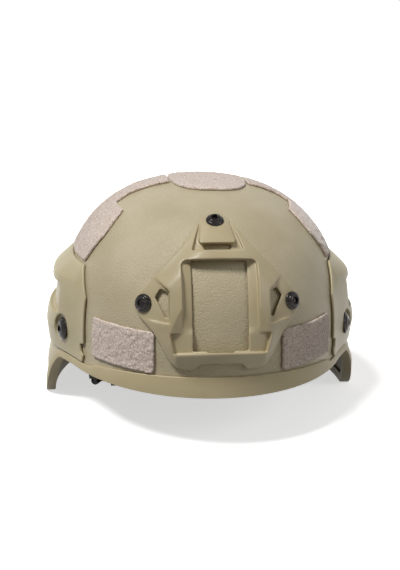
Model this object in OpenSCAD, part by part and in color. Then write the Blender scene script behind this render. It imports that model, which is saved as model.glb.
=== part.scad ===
// Full-cut combat helmet with a brow mount, side rails, loop patches, pads, fit dial and chin strap.
// The wearer faces -Y, +Z is up and z = 0 is the table that the ear covers stand on.

/* [Shell] */
// Half of the shell's width at its widest level, ear covers left out
half_w = 112; // [106:1:118]
// Length from the shell's centre to the brow
front_l = 139; // [132:1:146]
// Length from the shell's centre to the nape
rear_l = 141; // [136:1:148]
// Height of the dome above its widest level
dome_h = 112; // [106:1:118]
// Height of the widest level above the table
widest_z = 64; // [61:1:67]
// Exponent of the dome's profile, where 2 is an ellipse
dome_exp = 2.4; // [2.2:0.1:2.6]
// Thickness of the shell's wall
shell_t = 4; // [3:0.5:5]
// Height of the shell's edge at the brow
brow_z = 43; // [40:1:46]
// Height of the shell's edge at the nape
nape_z = 16; // [12:1:22]
// How far the ear covers swell out
ear_flare = 15; // [13:0.5:16]
// How far the brow and nape edges turn out
brow_flare = 3; // [1:0.5:4]

/* [Edge trim] */
// Thickness of the rubber trim round the shell's edge
trim_t = 1.6; // [1.2:0.2:2.4]
// Height of the trim's outer leg at the middle of the brow
trim_brow_h = 13; // [11:0.5:14]
// Height of the trim's outer leg over the ears and nape
trim_ear_h = 3.6; // [3:0.2:4.4]
// Height of the trim's inner leg
trim_inner_h = 6; // [5:0.5:8]

/* [Rails] */
// Full stand-off of a rail from the shell
rail_t = 12; // [10:0.5:14]
// Thickness of a rail's thin edges
rail_edge_t = 2.6; // [2:0.2:3.2]
// Height of a rail's upper edge
rail_high_z = 119; // [114:1:122]
// Depth of the dovetail channel
channel_d = 4.5; // [3:0.5:6]
// Diameter of the heads of the rail bolts
rail_head_d = 18; // [15:0.5:20]
// Thickness of a rail under the heads of its bolts
rail_floor_t = 6; // [3:0.5:7]
// Height of the front rail bolts above the table
rail_bolt_front_z = 65.5; // [64:0.5:67]
// Height of the rear rail bolts above the table
rail_bolt_rear_z = 70; // [69:0.5:72]

/* [Brow mount] */
// Thickness of the mount in its middle
mount_t = 9; // [8:0.5:11]
// Thickness of the mount's thin edges
mount_edge_t = 4.2; // [3.4:0.2:4.8]
// Thickness under the ledges, the shoulders and the wing bolts
ledge_t = 4.5; // [4:0.25:5.5]
// Half width of the window
window_w = 19.8; // [18:0.2:21]
// Half width of the ledges beside the window
ledge_w = 27; // [25:0.5:28]
// Diameter of the heads of the mount's bolts
mount_head_d = 13.6; // [12:0.2:15]
// Distance of the wing bolts from the middle
wing_x = 51.8; // [50:0.5:53]

/* [Fasteners] */
// Diameter of every bolt's shank
shank_d = 5; // [4:0.5:6]
// Clearance of a shank in its hole, on the radius
hole_gap = 0.25; // [0.15:0.05:0.4]
// Height of a bolt's domed head
head_h = 3.4; // [2.6:0.2:4]
// Width of a bolt's hexagon socket across its corners
socket_d = 5.6; // [4.6:0.2:6.2]
// Thickness of the nuts inside the shell
nut_t = 3; // [2.4:0.2:4]
// Diameter of the nuts inside the shell
nut_d = 13; // [11:0.5:14]

/* [Patches] */
// Thickness of the loop patches
patch_t = 2.2; // [1.6:0.2:2.6]
// Radius of the patches' corners
patch_r = 4; // [2:0.5:5]

/* [Pads] */
// Thickness of the foam pads
pad_t = 18; // [14:1:20]
// Thickness of the hook discs that hold the pads
disc_t = 1.4; // [1:0.2:2]
// Radius of the hook discs
disc_r = 17; // [12:1:18]

/* [Straps] */
// Width of the webbing
web_w = 19; // [16:1:22]
// Thickness of the webbing
web_t = 1.8; // [1.4:0.2:2.2]
// Height of the bars that the straps swing on
anchor_z = 51; // [50:0.5:53]
// Distance of those bars from the shell's widest level
anchor_inset = 19; // [18:0.5:21]
// How much further in the rings lie, where side straps and chin strap meet
ring_inset = 5; // [3:1:12]
// Thickness of the buckle
buckle_t = 6.2; // [5.6:0.2:6.4]
// Width of the buckle
buckle_w = 27; // [25:1:30]
// Length of the chin cup
cup_l = 46; // [40:1:48]
// Width of the chin cup
cup_w = 30; // [26:1:34]

/* [Fit dial] */
// Diameter of the dial's knob
knob_d = 36; // [32:1:38]
// Thickness of the knob's grip
knob_h = 8; // [6:0.5:9]
// Number of teeth on the pinion
pinion_teeth = 12; // [12:1:14]
// Module of the pinion and the bands
tooth_module = 1; // [1:0.05:1.1]
// Height of the dial's axis above the table
dial_z = 36; // [34:1:38]
// Distance of the dial's middle plane behind the shell's centre
dial_y = 100; // [96:1:102]
// Thickness of the toothed bands
band_t = 2; // [1.6:0.1:2.4]
// Height of the toothed bands above their pitch line
band_h = 6.5; // [6:0.5:7]

/* [Hidden] */
$fn = 48;

// Gap between pieces that are bonded or bolted together along a curved face
seat_gap = 0.25;
// The same under the brow mount and the rails, whose faces span more of the curve
wide_seat_gap = 0.4;
// The same for the hook discs, which lie inside the curve
disc_gap = 0.7;
// Gap between pieces of different bodies
run_gap = 0.4;
trim_gap = 0.2;
ear_z = trim_t + trim_gap;

// Angles round the shell, in degrees from the brow
ear_drop_from = 69;
ear_drop_to = 88;
nape_rise_from = 125;
nape_rise_to = 152;
swell_from = 56;
swell_to = 84;
swell_fade_from = 118;
swell_fade_to = 152;
nape_swell = 0.25;
swell_top_z = widest_z + 21;
swell_drop = 60;
brow_turn_drop = 23;

rail_from = 52.3;
rail_to = 135;
// A rail's lower edge lies just above the trim
rail_low_z = brow_z + trim_ear_h + 0.6;
rail_seam_drop = 22;
// Angle and height of the bolts of a rail
rail_bolt_front = [67, rail_bolt_front_z];
rail_bolt_rear = [121, rail_bolt_rear_z];

// The brow mount leans back by this angle, and is drawn on a plane square to it
mount_lean = 20;
wing_q = -1.5;
tab_q = 55.8;
near_w = 60;
far_w = 175;

function clamp01(x) = max(0, min(1, x));
function smooth(x) = let (c = clamp01(x)) c * c * (3 - 2 * c);
function mix(a, b, k) = a + (b - a) * k;
function unit(v) = v / norm(v);
function flat(rows) = [for (row = rows) each row];
// Shares from -1 to 1, closer together near both ends
function shares(n) = [for (i = [0:n]) sin(-90 + 180 * i / n)];
function even_shares(n) = [for (i = [0:n]) 2 * i / n - 1];

function ear_share(t) =
    smooth((t - swell_from) / (swell_to - swell_from))
    * (1 - (1 - nape_swell) * smooth((t - swell_fade_from) / (swell_fade_to - swell_fade_from)));
function flare(t, z) = let (share = ear_share(abs(t)))
    ear_flare * share * smooth((swell_top_z - z) / swell_drop)
    + brow_flare * (1 - share) * pow(clamp01((widest_z - z) / brow_turn_drop), 2);
// Length of the front or the rear half
function half_l(at_front) = at_front ? front_l : rear_l;
function plan_r(t, off) = 1 / norm([sin(t) / (half_w + off), cos(t) / (half_l(cos(t) > 0) + off)]);
function waist(z, off) =
    pow(max(0, 1 - pow(max(0, z - widest_z) / (dome_h + off), dome_exp)), 1 / dome_exp);
// A point of the shell's outer face, moved out by off, at an angle and a height
function skin(t, z, off) =
    let (r = plan_r(t, off) * waist(z, off) + flare(t, z)) [r * sin(t), -r * cos(t), z];
// The same with the height given as an angle from the crown
function dome_z(al, off) = widest_z + (dome_h + off) * pow(cos(al), 2 / dome_exp);
function dome(t, al, off) = skin(t, dome_z(al, off), off);
// The same over a point of the plan
function roof(x, y, off) =
    let (p = norm([x / (half_w + off), y / (half_l(y < 0) + off)]))
    [x, y, widest_z + (dome_h + off) * pow(1 - pow(p, dome_exp), 1 / dome_exp)];
function skin_normal(t, z, off) = unit(cross(skin(t + 0.5, z, off) - skin(t - 0.5, z, off),
                                            skin(t, z + 0.5, off) - skin(t, z - 0.5, off)));
// Less than 1 inside the face that skin() gives, more than 1 outside it
function level(p, off) =
    let (r = norm([p.x, p.y]), f = flare(atan2(p.x, -p.y), p.z), k = max(0, r - f) / r,
         b = half_l(p.y < 0) + off,
         plan = norm([k * p.x / (half_w + off), k * p.y / b]), h = max(0, p.z - widest_z) / (dome_h + off))
    pow(plan, dome_exp) + pow(h, dome_exp);

// Height of the shell's lower edge
function rim_z(t) = let (a = abs(t))
    a < 107 ? mix(brow_z, ear_z, smooth((a - ear_drop_from) / (ear_drop_to - ear_drop_from)))
            : mix(ear_z, nape_z, smooth((a - nape_rise_from) / (nape_rise_to - nape_rise_from)));

// Points of the brow mount's own plane
function mount_point(x, q, w) =
    [x, q * sin(mount_lean) - w * cos(mount_lean), widest_z + q * cos(mount_lean) + w * sin(mount_lean)];
function seek_w(x, q, off, low, high, n) = let (mid = (low + high) / 2)
    n == 0 ? mid
    : level(mount_point(x, q, mid), off) > 1 ? seek_w(x, q, off, low, mid, n - 1)
    : seek_w(x, q, off, mid, high, n - 1);
function skin_w(x, q, off) = seek_w(x, q, off, near_w, far_w + 15, 18);

// A closed slab between two grids of points with the same numbers of rows and columns
module slab(outer, inner) {
    rows = len(outer);
    cols = len(outer[0]);
    base = rows * cols;
    function at(i, j) = i * cols + j;
    function quad(a, b, c, d) = [[a, b, c], [a, c, d]];
    faces = [
        for (i = [0:rows - 2]) for (j = [0:cols - 2]) each concat(
            quad(at(i, j), at(i + 1, j), at(i + 1, j + 1), at(i, j + 1)),
            quad(base + at(i, j), base + at(i, j + 1), base + at(i + 1, j + 1), base + at(i + 1, j))),
        for (i = [0:rows - 2]) each concat(
            quad(at(i, 0), base + at(i, 0), base + at(i + 1, 0), at(i + 1, 0)),
            quad(at(i, cols - 1), at(i + 1, cols - 1), base + at(i + 1, cols - 1), base + at(i, cols - 1))),
        for (j = [0:cols - 2]) each concat(
            quad(at(0, j), at(0, j + 1), base + at(0, j + 1), base + at(0, j)),
            quad(at(rows - 1, j), base + at(rows - 1, j), base + at(rows - 1, j + 1), at(rows - 1, j + 1)))
    ];
    polyhedron(concat(flat(outer), flat(inner)), faces);
}

// A closed skin over rings of points, from one pole to the other
module rings_between(first, rings, last) {
    n = len(rings[0]);
    m = len(rings);
    function at(i, j) = 1 + i * n + j % n;
    end = 1 + m * n;
    faces = [
        for (j = [0:n - 1]) [0, at(0, j + 1), at(0, j)],
        for (i = [0:m - 2]) for (j = [0:n - 1]) each
            [[at(i, j), at(i + 1, j + 1), at(i + 1, j)], [at(i, j), at(i, j + 1), at(i + 1, j + 1)]],
        for (j = [0:n - 1]) [end, at(m - 1, j), at(m - 1, j + 1)]
    ];
    polyhedron(concat([first], flat(rings), [last]), faces);
}

// A closed loop of sections, each a closed line of points
module ring_of_sections(sections) {
    n = len(sections[0]);
    m = len(sections);
    function at(i, j) = (i % m) * n + j % n;
    faces = [for (i = [0:m - 1]) for (j = [0:n - 1]) each
        [[at(i, j), at(i + 1, j + 1), at(i, j + 1)], [at(i, j), at(i + 1, j), at(i + 1, j + 1)]]];
    polyhedron(flat(sections), faces);
}

// Puts its children on a point with their z axis along a direction
module aim(p, n) translate(p) rotate([0, acos(n.z), atan2(n.y, n.x)]) children();

module left_or_right(left) mirror([left ? 0 : 1, 0, 0]) children();
module both_halves() {
    children();
    mirror([1, 0]) children();
}
module both_ways() {
    children();
    mirror([0, 1, 0]) children();
}

// Angles of the columns round the shell, closer together where the edge drops to the ears
half_turn = concat([for (t = [0:5:60]) t], [for (t = [62.5:2.5:95]) t], [for (t = [100:5:180]) t]);
whole_turn = concat(half_turn, [for (i = [len(half_turn) - 2:-1:1]) -half_turn[i]]);

// Rows of the shell: angles from the crown, rises above the widest level, then steps down to the edge
shell_dome_angles = [6, 16, 27, 38, 49, 59, 67, 74];
shell_side_rises = [28, 18, 9, 0];
shell_skirt_rows = 6;
function shell_rings(off) = concat(
    [for (al = shell_dome_angles) [for (t = whole_turn) dome(t, al, off)]],
    [for (rise = shell_side_rises) [for (t = whole_turn) skin(t, widest_z + rise, off)]],
    [for (i = [1:shell_skirt_rows])
        [for (t = whole_turn) skin(t, mix(widest_z, rim_z(t), i / shell_skirt_rows), off)]]);
function reversed(list) = [for (i = [len(list) - 1:-1:0]) list[i]];

// Places of the mount's bolts, as points of its plane
mount_bolt_spots = [[0, tab_q], [wing_x, wing_q], [-wing_x, wing_q]];
function field_normal(x, q) = let (
    px = mount_point(x + 1, q, skin_w(x + 1, q, 0)) - mount_point(x - 1, q, skin_w(x - 1, q, 0)),
    pq = mount_point(x, q + 1, skin_w(x, q + 1, 0)) - mount_point(x, q - 1, skin_w(x, q - 1, 0)))
    unit(cross(px, pq));
module at_mount_bolts() {
    for (s = mount_bolt_spots)
        aim(mount_point(s.x, s.y, skin_w(s.x, s.y, 0)), field_normal(s.x, s.y)) children();
}
module at_rail_bolt(spot) aim(skin(spot[0], spot[1], 0), skin_normal(spot[0], spot[1], 0)) children();
module at_rail_bolts(left) {
    for (spot = [rail_bolt_front, rail_bolt_rear])
        left_or_right(left) at_rail_bolt(spot) children();
}

module shell() color([0.60, 0.55, 0.40]) {
    difference() {
        rings_between([0, 0, dome_z(0, 0)],
                      concat(shell_rings(0), reversed(shell_rings(-shell_t))),
                      [0, 0, dome_z(0, -shell_t)]);
        at_mount_bolts() cylinder(h = 4 * shell_t, d = shank_d + 2 * hole_gap, center = true);
        for (left = [true, false])
            at_rail_bolts(left) cylinder(h = 4 * shell_t, d = shank_d + 2 * hole_gap, center = true);
    }
}

// The trim's outer leg loses half its height towards the ends of the brow, and gets low under the rails
brow_end = 46;
function trim_leg(t) =
    let (a = abs(t), brow = trim_brow_h * (1 - 0.5 * pow(min(a, brow_end) / brow_end, 2)))
    mix(brow, trim_ear_h, smooth((a - brow_end + 2) / 5));
function rim_slope(t) = (rim_z(t + 0.5) - rim_z(t - 0.5)) / (plan_r(t, 0) * PI / 180);
// A point at a distance from the shell's edge, measured square to that edge along the shell
function trim_point(t, off, d) = let (s = rim_slope(t), n = norm([s, 1]))
    skin(t - s * d / n / plan_r(t, 0) * 180 / PI, rim_z(t) + d / n, off);
function trim_section(t) = let (out = trim_gap + trim_t, in = -shell_t - out, low = -trim_gap - trim_t,
                                r = trim_t / 2, leg = trim_leg(t)) [
    for (p = [[-shell_t - trim_gap, trim_inner_h], [-shell_t - trim_gap, -trim_gap], [trim_gap, -trim_gap],
              [trim_gap, leg], [trim_gap + r, leg], [out, leg - r], [out, low + r], [out - r, low],
              [in + r, low], [in, low + r], [in, trim_inner_h - r], [in + r, trim_inner_h]])
        trim_point(t, p.x, p.y)];

module edge_trim() color([0.62, 0.57, 0.43]) ring_of_sections([for (t = whole_turn) trim_section(t)]);

// Outline of the brow mount, as half widths over the height of its plane
mount_outline = [
    [-50.3, 23.5], [-48.7, 30.5], [-45, 34.8], [-41, 37.5], [-33, 41.5], [-23, 46.8], [-11, 56.5], [-5, 59.4],
    [-0.5, 60], [3, 59.2], [7, 56], [16.5, 46.5], [27.5, 36], [38.5, 25.5], [48, 18.5], [58, 11.8],
    [62.5, 8], [65, 5], [66, 2.5]
];
function mount_thick(x, q, half) = let (reach = mix(7, 20, smooth((q + 36) / 26)))
    mix(mount_edge_t, mount_t, smooth((half - abs(x)) / reach));
module mount_body() {
    columns = shares(12);
    function grid(top) = [for (row = mount_outline) [for (u = columns)
        let (x = u * row[1], q = row[0], base = skin_w(x, q, 0))
        mount_point(x, q, base + (top ? mount_thick(x, q, row[1]) : wide_seat_gap))]];
    slab(grid(true), grid(false));
}
// Everything that lies further than t off the shell, over a rectangle of the mount's plane
module above_skin(t, x, q_low, q_high, nx, nq) {
    function grid(top) = [for (j = [0:nq]) [for (i = [0:nx])
        let (px = mix(-x, x, i / nx), pq = mix(q_low, q_high, j / nq))
        mount_point(px, pq, top ? far_w : skin_w(px, pq, 0) + t)]];
    slab(grid(true), grid(false));
}
// A prism along the mount's own axis
module mount_prism() {
    translate([0, 0, widest_z]) rotate([90 - mount_lean, 0, 0]) translate([0, 0, near_w])
        linear_extrude(far_w - near_w) children();
}
// Lower and upper ends of the ledges and of the window
ledge_q = [-38.5, 29.4];
window_q = [-37, 27];
sill_notch = [19, 1.4];
module ledge_shape() {
    corner = 4;
    shelf_q = -22;
    for (s = [-1, 1]) translate([s * (ledge_w - corner), ledge_q[1] - corner]) circle(corner);
    translate([corner - ledge_w, ledge_q[1] - 2 * corner]) square([2 * (ledge_w - corner), 2 * corner]);
    translate([-ledge_w, ledge_q[0]]) square([2 * ledge_w, ledge_q[1] - corner - ledge_q[0]]);
    both_halves() polygon([[ledge_w - 1, shelf_q], [ledge_w + 9.3, shelf_q], [ledge_w + 6, ledge_q[0]],
                           [ledge_w - 1, ledge_q[0]]]);
}
// Points of the wings and of their pockets, as distances from the wing bolt's line and heights
wing_points = [[-3.3, 19.5], [-9.9, 10.4], [-14.3, 7.5], [-15.3, -2], [-12.1, -11.6], [0.2, -10.2],
               [12.2, -10], [12.2, 19.5]];
pocket_points = [[-6.2, 3], [-10.3, 9.4], [-14.1, 6.9], [-14.6, -2], [-12.5, -9]];
module beside_wing_bolt(points) both_halves() translate([wing_x, 0]) polygon(points);
module window_shape() {
    translate([-window_w, window_q[0]]) square([2 * window_w, window_q[1] - window_q[0]]);
    translate([-sill_notch[0] / 2, window_q[0] - sill_notch[1]]) square([sill_notch[0], 2 * sill_notch[1]]);
}
// The groove round the tongue that carries the upper bolt, and the slot below the tongue
module tab_recess_shape() {
    difference() {
        polygon([[-18, 36.5], [18, 36.5], [11.2, 57.5], [-11.2, 57.5]]);
        polygon([[-12.6, 41.5], [12.6, 41.5], [13.4, 44], [10.4, 58], [-10.4, 58], [-13.4, 44]]);
    }
}
module tab_slot_shape() translate([-9, 36.6]) square([18, 4.4]);
// The lower edge is drawn in over the middle of the brow
module lower_notch_shape() polygon([[-14.5, -46.2], [14.5, -46.2], [20.5, -52], [-20.5, -52]]);
// Half width, then lower and upper end of the fields that the ledges and the tongue's groove lie in
ledge_field = [66, -41, 31];
tab_field = [20, 35, 60];
tab_floor_t = 2.2;
// The bolts' heads sit on flats sunk into the ledges' level
mount_seat = ledge_t - 0.7;
module brow_mount() color([0.58, 0.53, 0.39]) {
    difference() {
        mount_body();
        intersection() {
            above_skin(ledge_t, ledge_field[0], ledge_field[1], ledge_field[2], 16, 10);
            mount_prism() {
                ledge_shape();
                beside_wing_bolt(wing_points);
            }
        }
        intersection() {
            above_skin(tab_floor_t, tab_field[0], tab_field[1], tab_field[2], 6, 4);
            mount_prism() tab_recess_shape();
        }
        mount_prism() {
            window_shape();
            beside_wing_bolt(pocket_points);
            tab_slot_shape();
            lower_notch_shape();
        }
        at_mount_bolts() {
            cylinder(h = 40, d = shank_d + 2 * hole_gap, center = true);
            translate([0, 0, mount_seat]) cylinder(h = 20, d = mount_head_d + 1);
        }
    }
}

socket_deep = 2;
// A shank ends this far below its nut
shank_end = 1.2;
// A domed bolt whose head sits at z = 0, and whose shank reaches down through the nut
module bolt(head_d, length) {
    r = head_d / 2;
    sphere_r = (r * r + head_h * head_h) / (2 * head_h);
    difference() {
        union() {
            translate([0, 0, -length]) cylinder(h = length + 1, d = shank_d);
            rotate_extrude() intersection() {
                translate([0, head_h - sphere_r]) circle(sphere_r, $fn = 96);
                translate([0, 0]) square([r - 0.2, head_h + 1]);
            }
        }
        translate([0, 0, head_h - socket_deep]) cylinder(h = socket_deep + 1, d = socket_d, $fn = 6);
    }
}
module nut(d) {
    difference() {
        cylinder(h = nut_t, d = d);
        translate([0, 0, -1]) cylinder(h = nut_t + 2, d = shank_d + 0.1);
    }
}
// The shell's inner face lies a little deeper than its wall where it curves
nut_face = -shell_t * 1.1 - 0.7;
module mount_bolts() color([0.06, 0.06, 0.06])
    at_mount_bolts() translate([0, 0, mount_seat])
        bolt(mount_head_d, mount_seat - nut_face + nut_t + shank_end);
module mount_nuts() color([0.35, 0.35, 0.34])
    at_mount_bolts() translate([0, 0, nut_face - nut_t]) nut(nut_d);

// Heights and stand-offs round a rail's section: share of the height outside, share of the stand-off,
// share of the channel's depth, share of the height inside
rail_section_points = [
    [0, 0, 0, 0], [0.12, 0.45, 0, 0.1], [0.24, 0.88, 0, 0.2], [0.33, 1, 0, 0.3], [0.42, 1, 0, 0.4],
    [0.43, 1, 1, 0.48], [0.73, 1, 1, 0.6], [0.74, 1, 0, 0.7], [0.82, 1, 0, 0.8], [0.9, 0.55, 0, 0.9],
    [1, 0, 0, 1]
];
channel_undercut = 0.03;
// Angles where the channel starts and ends, and where the rail's rear end starts to narrow
channel_from = 70;
channel_to = 110;
rail_tail_from = 105;
rail_low_rise = 12;
rail_stations = 28;
function rail_swell(t) = smooth((t - rail_from) / 27) * (1 - 0.8 * smooth((t - 118) / 17));
function rail_groove(t) = smooth((t - channel_from) / 5) * (1 - smooth((t - channel_to) / 5));
function rail_tail(t) = smooth((t - rail_tail_from) / (rail_to - rail_tail_from));
function rail_low(t) = rail_low_z + rail_low_rise * rail_tail(t);
function rail_high(t) =
    rail_high_z - rail_seam_drop * (1 - clamp01((t - rail_from) / 8)) - 22 * rail_tail(t);
module rail_body() {
    stations = [for (i = [0:rail_stations]) mix(rail_from, rail_to, i / rail_stations)];
    outer = [for (p = rail_section_points) [for (t = stations)
        let (deep = p[2] * rail_groove(t), under = p[0] < 0.5 ? -channel_undercut : channel_undercut,
             z = mix(rail_low(t), rail_high(t), p[0] + deep * under))
        skin(t, z, mix(rail_edge_t, rail_t, p[1] * rail_swell(t)) - deep * channel_d)]];
    inner = [for (p = rail_section_points) [for (t = stations)
        skin(t, mix(rail_low(t), rail_high(t), p[3]), wide_seat_gap)]];
    slab(outer, inner);
}
module rail(left) color([0.57, 0.52, 0.38]) {
    difference() {
        left_or_right(left) rail_body();
        at_rail_bolts(left) {
            cylinder(h = 60, d = shank_d + 2 * hole_gap, center = true);
            translate([0, 0, rail_floor_t]) cylinder(h = 30, d = rail_head_d + 4);
        }
    }
}
module rail_left() rail(true);
module rail_right() rail(false);
// The rail bolts also clamp the strap anchors under their nuts
anchor_t = 1.6;
anchor_plate_w = web_w + 5.5;
anchor_nut_gap = 0.2;
module rail_bolts() color([0.06, 0.06, 0.06]) for (left = [true, false])
    at_rail_bolts(left) translate([0, 0, rail_floor_t])
        bolt(rail_head_d, rail_floor_t - nut_face + anchor_t + anchor_nut_gap + nut_t + shank_end);
module rail_nuts() color([0.35, 0.35, 0.34]) for (left = [true, false])
    at_rail_bolts(left) translate([0, 0, nut_face - anchor_t - anchor_nut_gap - nut_t]) nut(nut_d);

// The bars that the side straps swing on, under the rail bolts, and the loops round them
bar_d = 3.2;
loop_d = bar_d + 2 * run_gap + 2 * web_t;
// An anchor's plate reaches this far above and below its bolt
plate_up = 8.5;
plate_down = nut_d / 2 + 0.5;
// The arms are a little thinner than the plate
arm_inset = 0.1;
anchor_x = half_w - anchor_inset;
ring_x = anchor_x - ring_inset;
function anchor_y(spot) = skin(spot[0], spot[1], -shell_t).y;
// A point given in the frame that aim() sets
function aimed(p, n, v) =
    let (lean = acos(n.z), turn = atan2(n.y, n.x), r = cos(lean) * v.x + sin(lean) * v.z)
    p + [cos(turn) * r - sin(turn) * v.y, sin(turn) * r + cos(turn) * v.y, cos(lean) * v.z - sin(lean) * v.x];
// A flat arm from a lower corner of the anchor's plate to one end of its bar
module anchor_arm(spot, s, bar_end) {
    function plate(side, deep) = aimed(skin(spot[0], spot[1], 0), skin_normal(spot[0], spot[1], 0),
                                       [plate_down - 1, side, nut_face - deep]);
    mid = s * (anchor_plate_w / 2 - 1.5);
    function edge(deep) = [[for (side = [-1, 1]) bar_end + [anchor_t / 2 - deep, side, -bar_d / 4]],
                           [plate(mid - 1, deep), plate(mid + 1, deep)]];
    slab(edge(arm_inset), edge(anchor_t - arm_inset));
}
module anchor_plate() {
    w = anchor_plate_w / 2;
    cut = 4;
    translate([0, 0, nut_face - anchor_t]) linear_extrude(anchor_t)
        polygon([[plate_down, -w], [plate_down, w], [cut - plate_up, w], [-plate_up, w - cut],
                 [-plate_up, cut - w], [cut - plate_up, -w]]);
}
module strap_anchor(spot) {
    y = anchor_y(spot);
    difference() {
        union() {
            at_rail_bolt(spot) anchor_plate();
            for (s = [-1, 1]) anchor_arm(spot, s, [anchor_x, y + s * (web_w / 2 + 2), anchor_z]);
            translate([anchor_x, y, anchor_z]) rotate([90, 0, 0])
                cylinder(h = web_w + 4, d = bar_d, center = true);
        }
        at_rail_bolt(spot) cylinder(h = 60, d = shank_d + 2 * hole_gap, center = true);
    }
}
module strap_anchors() color([0.15, 0.15, 0.15]) for (left = [true, false])
    left_or_right(left) for (spot = [rail_bolt_front, rail_bolt_rear]) strap_anchor(spot);

patch_color = [0.66, 0.58, 0.51];
// How far a rounded corner draws a row in, at a distance from the patch's end
function corner_in(d, r) = d >= r ? 0 : r - sqrt(r * r - (r - d) * (r - d));
// A rectangle on the shell between two heights, and two lines of the plan given in mm along the shell
module patch_rect(t_mid, half_l, z_low, z_high, off, thick) {
    corner_rows = [0, 0.1 * patch_r, 0.4 * patch_r, patch_r];
    h = z_high - z_low;
    ds = concat(corner_rows, [for (i = [1:2]) mix(patch_r, h - patch_r, i / 3)],
                [for (d = reversed(corner_rows)) h - d]);
    columns = even_shares(ceil(half_l / 5));
    function grid(o) = [for (d = ds)
        let (z = z_low + d, half = half_l - corner_in(min(d, h - d), patch_r))
        [for (u = columns) skin(t_mid + u * half / plan_r(t_mid, 0) * 180 / PI, z, o)]];
    slab(grid(off + thick), grid(off));
}
// Angle, half length, lower and upper height
front_patch_spot = [34, 28.5, 55.8, 85.5];
rear_patch_spot = [180, 60, 66, 108];
module patch_at(s) patch_rect(s[0], s[1], s[2], s[3], seat_gap, patch_t);
module patch_front() patch_at(front_patch_spot);
module patch_front_left() color(patch_color) patch_front();
module patch_front_right() color(patch_color) mirror([1, 0, 0]) patch_front();
module patch_rear() color(patch_color) patch_at(rear_patch_spot);

// The top patch is a long oval
top_patch_x = 31.5;
top_patch_y = 53;
top_patch_mid = 10;
module patch_top() {
    ring_shares = [1, 0.7, 0.35];
    n = 36;
    squareness = 2.6;
    function oval(s, a) = let (c = abs(cos(a)), d = abs(sin(a)),
                               r = s / pow(pow(c, squareness) + pow(d, squareness), 1 / squareness))
        [top_patch_x * r * cos(a), top_patch_mid + top_patch_y * r * sin(a)];
    function ring(s, off) = [for (i = [0:n - 1]) let (p = oval(s, 360 * i / n)) roof(p.x, p.y, off)];
    color(patch_color) rings_between(roof(0, top_patch_mid, seat_gap + patch_t),
                  concat([for (s = reversed(ring_shares)) ring(s, seat_gap + patch_t)],
                         [for (s = ring_shares) ring(s, seat_gap)]),
                  roof(0, top_patch_mid, seat_gap));
}
// A side patch: a neck beside the top patch, and a wide panel down to the rail
side_neck_front = -11;
side_neck_rear = 36;
function side_point(y, z, off) = let (depth = y / (half_l(y < 0) + off))
    [(half_w + off) * sqrt(max(0, pow(waist(z, off), 2) - depth * depth)), y, z];
// Distances of the neck's rows from the middle
side_neck_rows = [top_patch_x + 0.6, 41, 50, 59];
// The panel ends just above the rail
side_low_share = (rail_high_z + 1 - widest_z) / dome_h;
// Height above the widest level as a share of the dome's, front edge and rear edge of the panel's rows
side_panel_rows = [
    [0.854, -15, 44], [0.842, -41, 60], [0.8, -46.5, 64], [0.75, -51.5, 67], [0.69, -54.5, 69],
    [0.63, -54.5, 70], [0.56, -53, 71], [side_low_share, -52, 71]
];
module patch_side() {
    columns = even_shares(10);
    function grid(off) = concat(
        [for (row = reversed(side_panel_rows)) [for (u = columns)
            side_point(mix(row[1], row[2], (u + 1) / 2), widest_z + row[0] * (dome_h + off), off)]],
        [for (x = reversed(side_neck_rows)) [for (u = columns)
            roof(x, mix(side_neck_front, side_neck_rear, (u + 1) / 2), off)]]);
    slab(grid(seat_gap + patch_t), grid(seat_gap));
}
module patch_side_left() color(patch_color) patch_side();
module patch_side_right() color(patch_color) mirror([1, 0, 0]) patch_side();

pad_color = [0.12, 0.11, 0.10];
pad_mid = shell_t + disc_gap + disc_t + seat_gap + pad_t / 2;
pad_edge_t = 4;
// Fullness of a small pad at shares of its half width and half height
function fullness(u, v) = pow((1 - pow(abs(u), 4)) * (1 - pow(abs(v), 4)), 0.5);
// A pad is a pillow: full in its middle, thin at its seam and drawn in along its sides
function pillow(u, v) = mix(pad_edge_t, pad_t, pow((1 - pow(abs(u), 5)) * (1 - pow(abs(v), 5)), 0.4)) / 2;
function pad_half(v, half) =
    half * pow(1 - pow(min(abs(v), 0.985), 5), 0.2) * (1 - 0.05 * pow(cos(90 * v), 2));
module wall_pad(t_mid, half_l, z_mid, half_h) {
    n = 9;
    function grid(side) = [for (v = shares(n)) [for (u = shares(n))
        let (l = u * pad_half(v, half_l), z = z_mid + v * half_h * (1 - 0.05 * pow(cos(90 * u), 2)))
        skin(t_mid + l / plan_r(t_mid, -pad_mid) * 180 / PI, z, -pad_mid + side * pillow(u, v))]];
    slab(grid(1), grid(-1));
}
crown_pad_x = 46;
crown_pad_y = 52;
module crown_pad() {
    n = 28;
    rs = [0.3, 0.6, 0.85, 0.97, 1];
    function ring(r, side) = [for (i = [0:n - 1])
        let (a = 360 * i / n, k = 1 + 0.02 * cos(4 * a))
        roof(crown_pad_x * r * k * cos(a), crown_pad_y * r * k * sin(a), -pad_mid + side * pillow(r, 0))];
    color(pad_color) rings_between(roof(0, 0, -pad_mid + pillow(0, 0)),
                  concat([for (r = rs) ring(r, 1)], [for (r = reversed(rs)) ring(r, -1)]),
                  roof(0, 0, -pad_mid - pillow(0, 0)));
}
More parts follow.
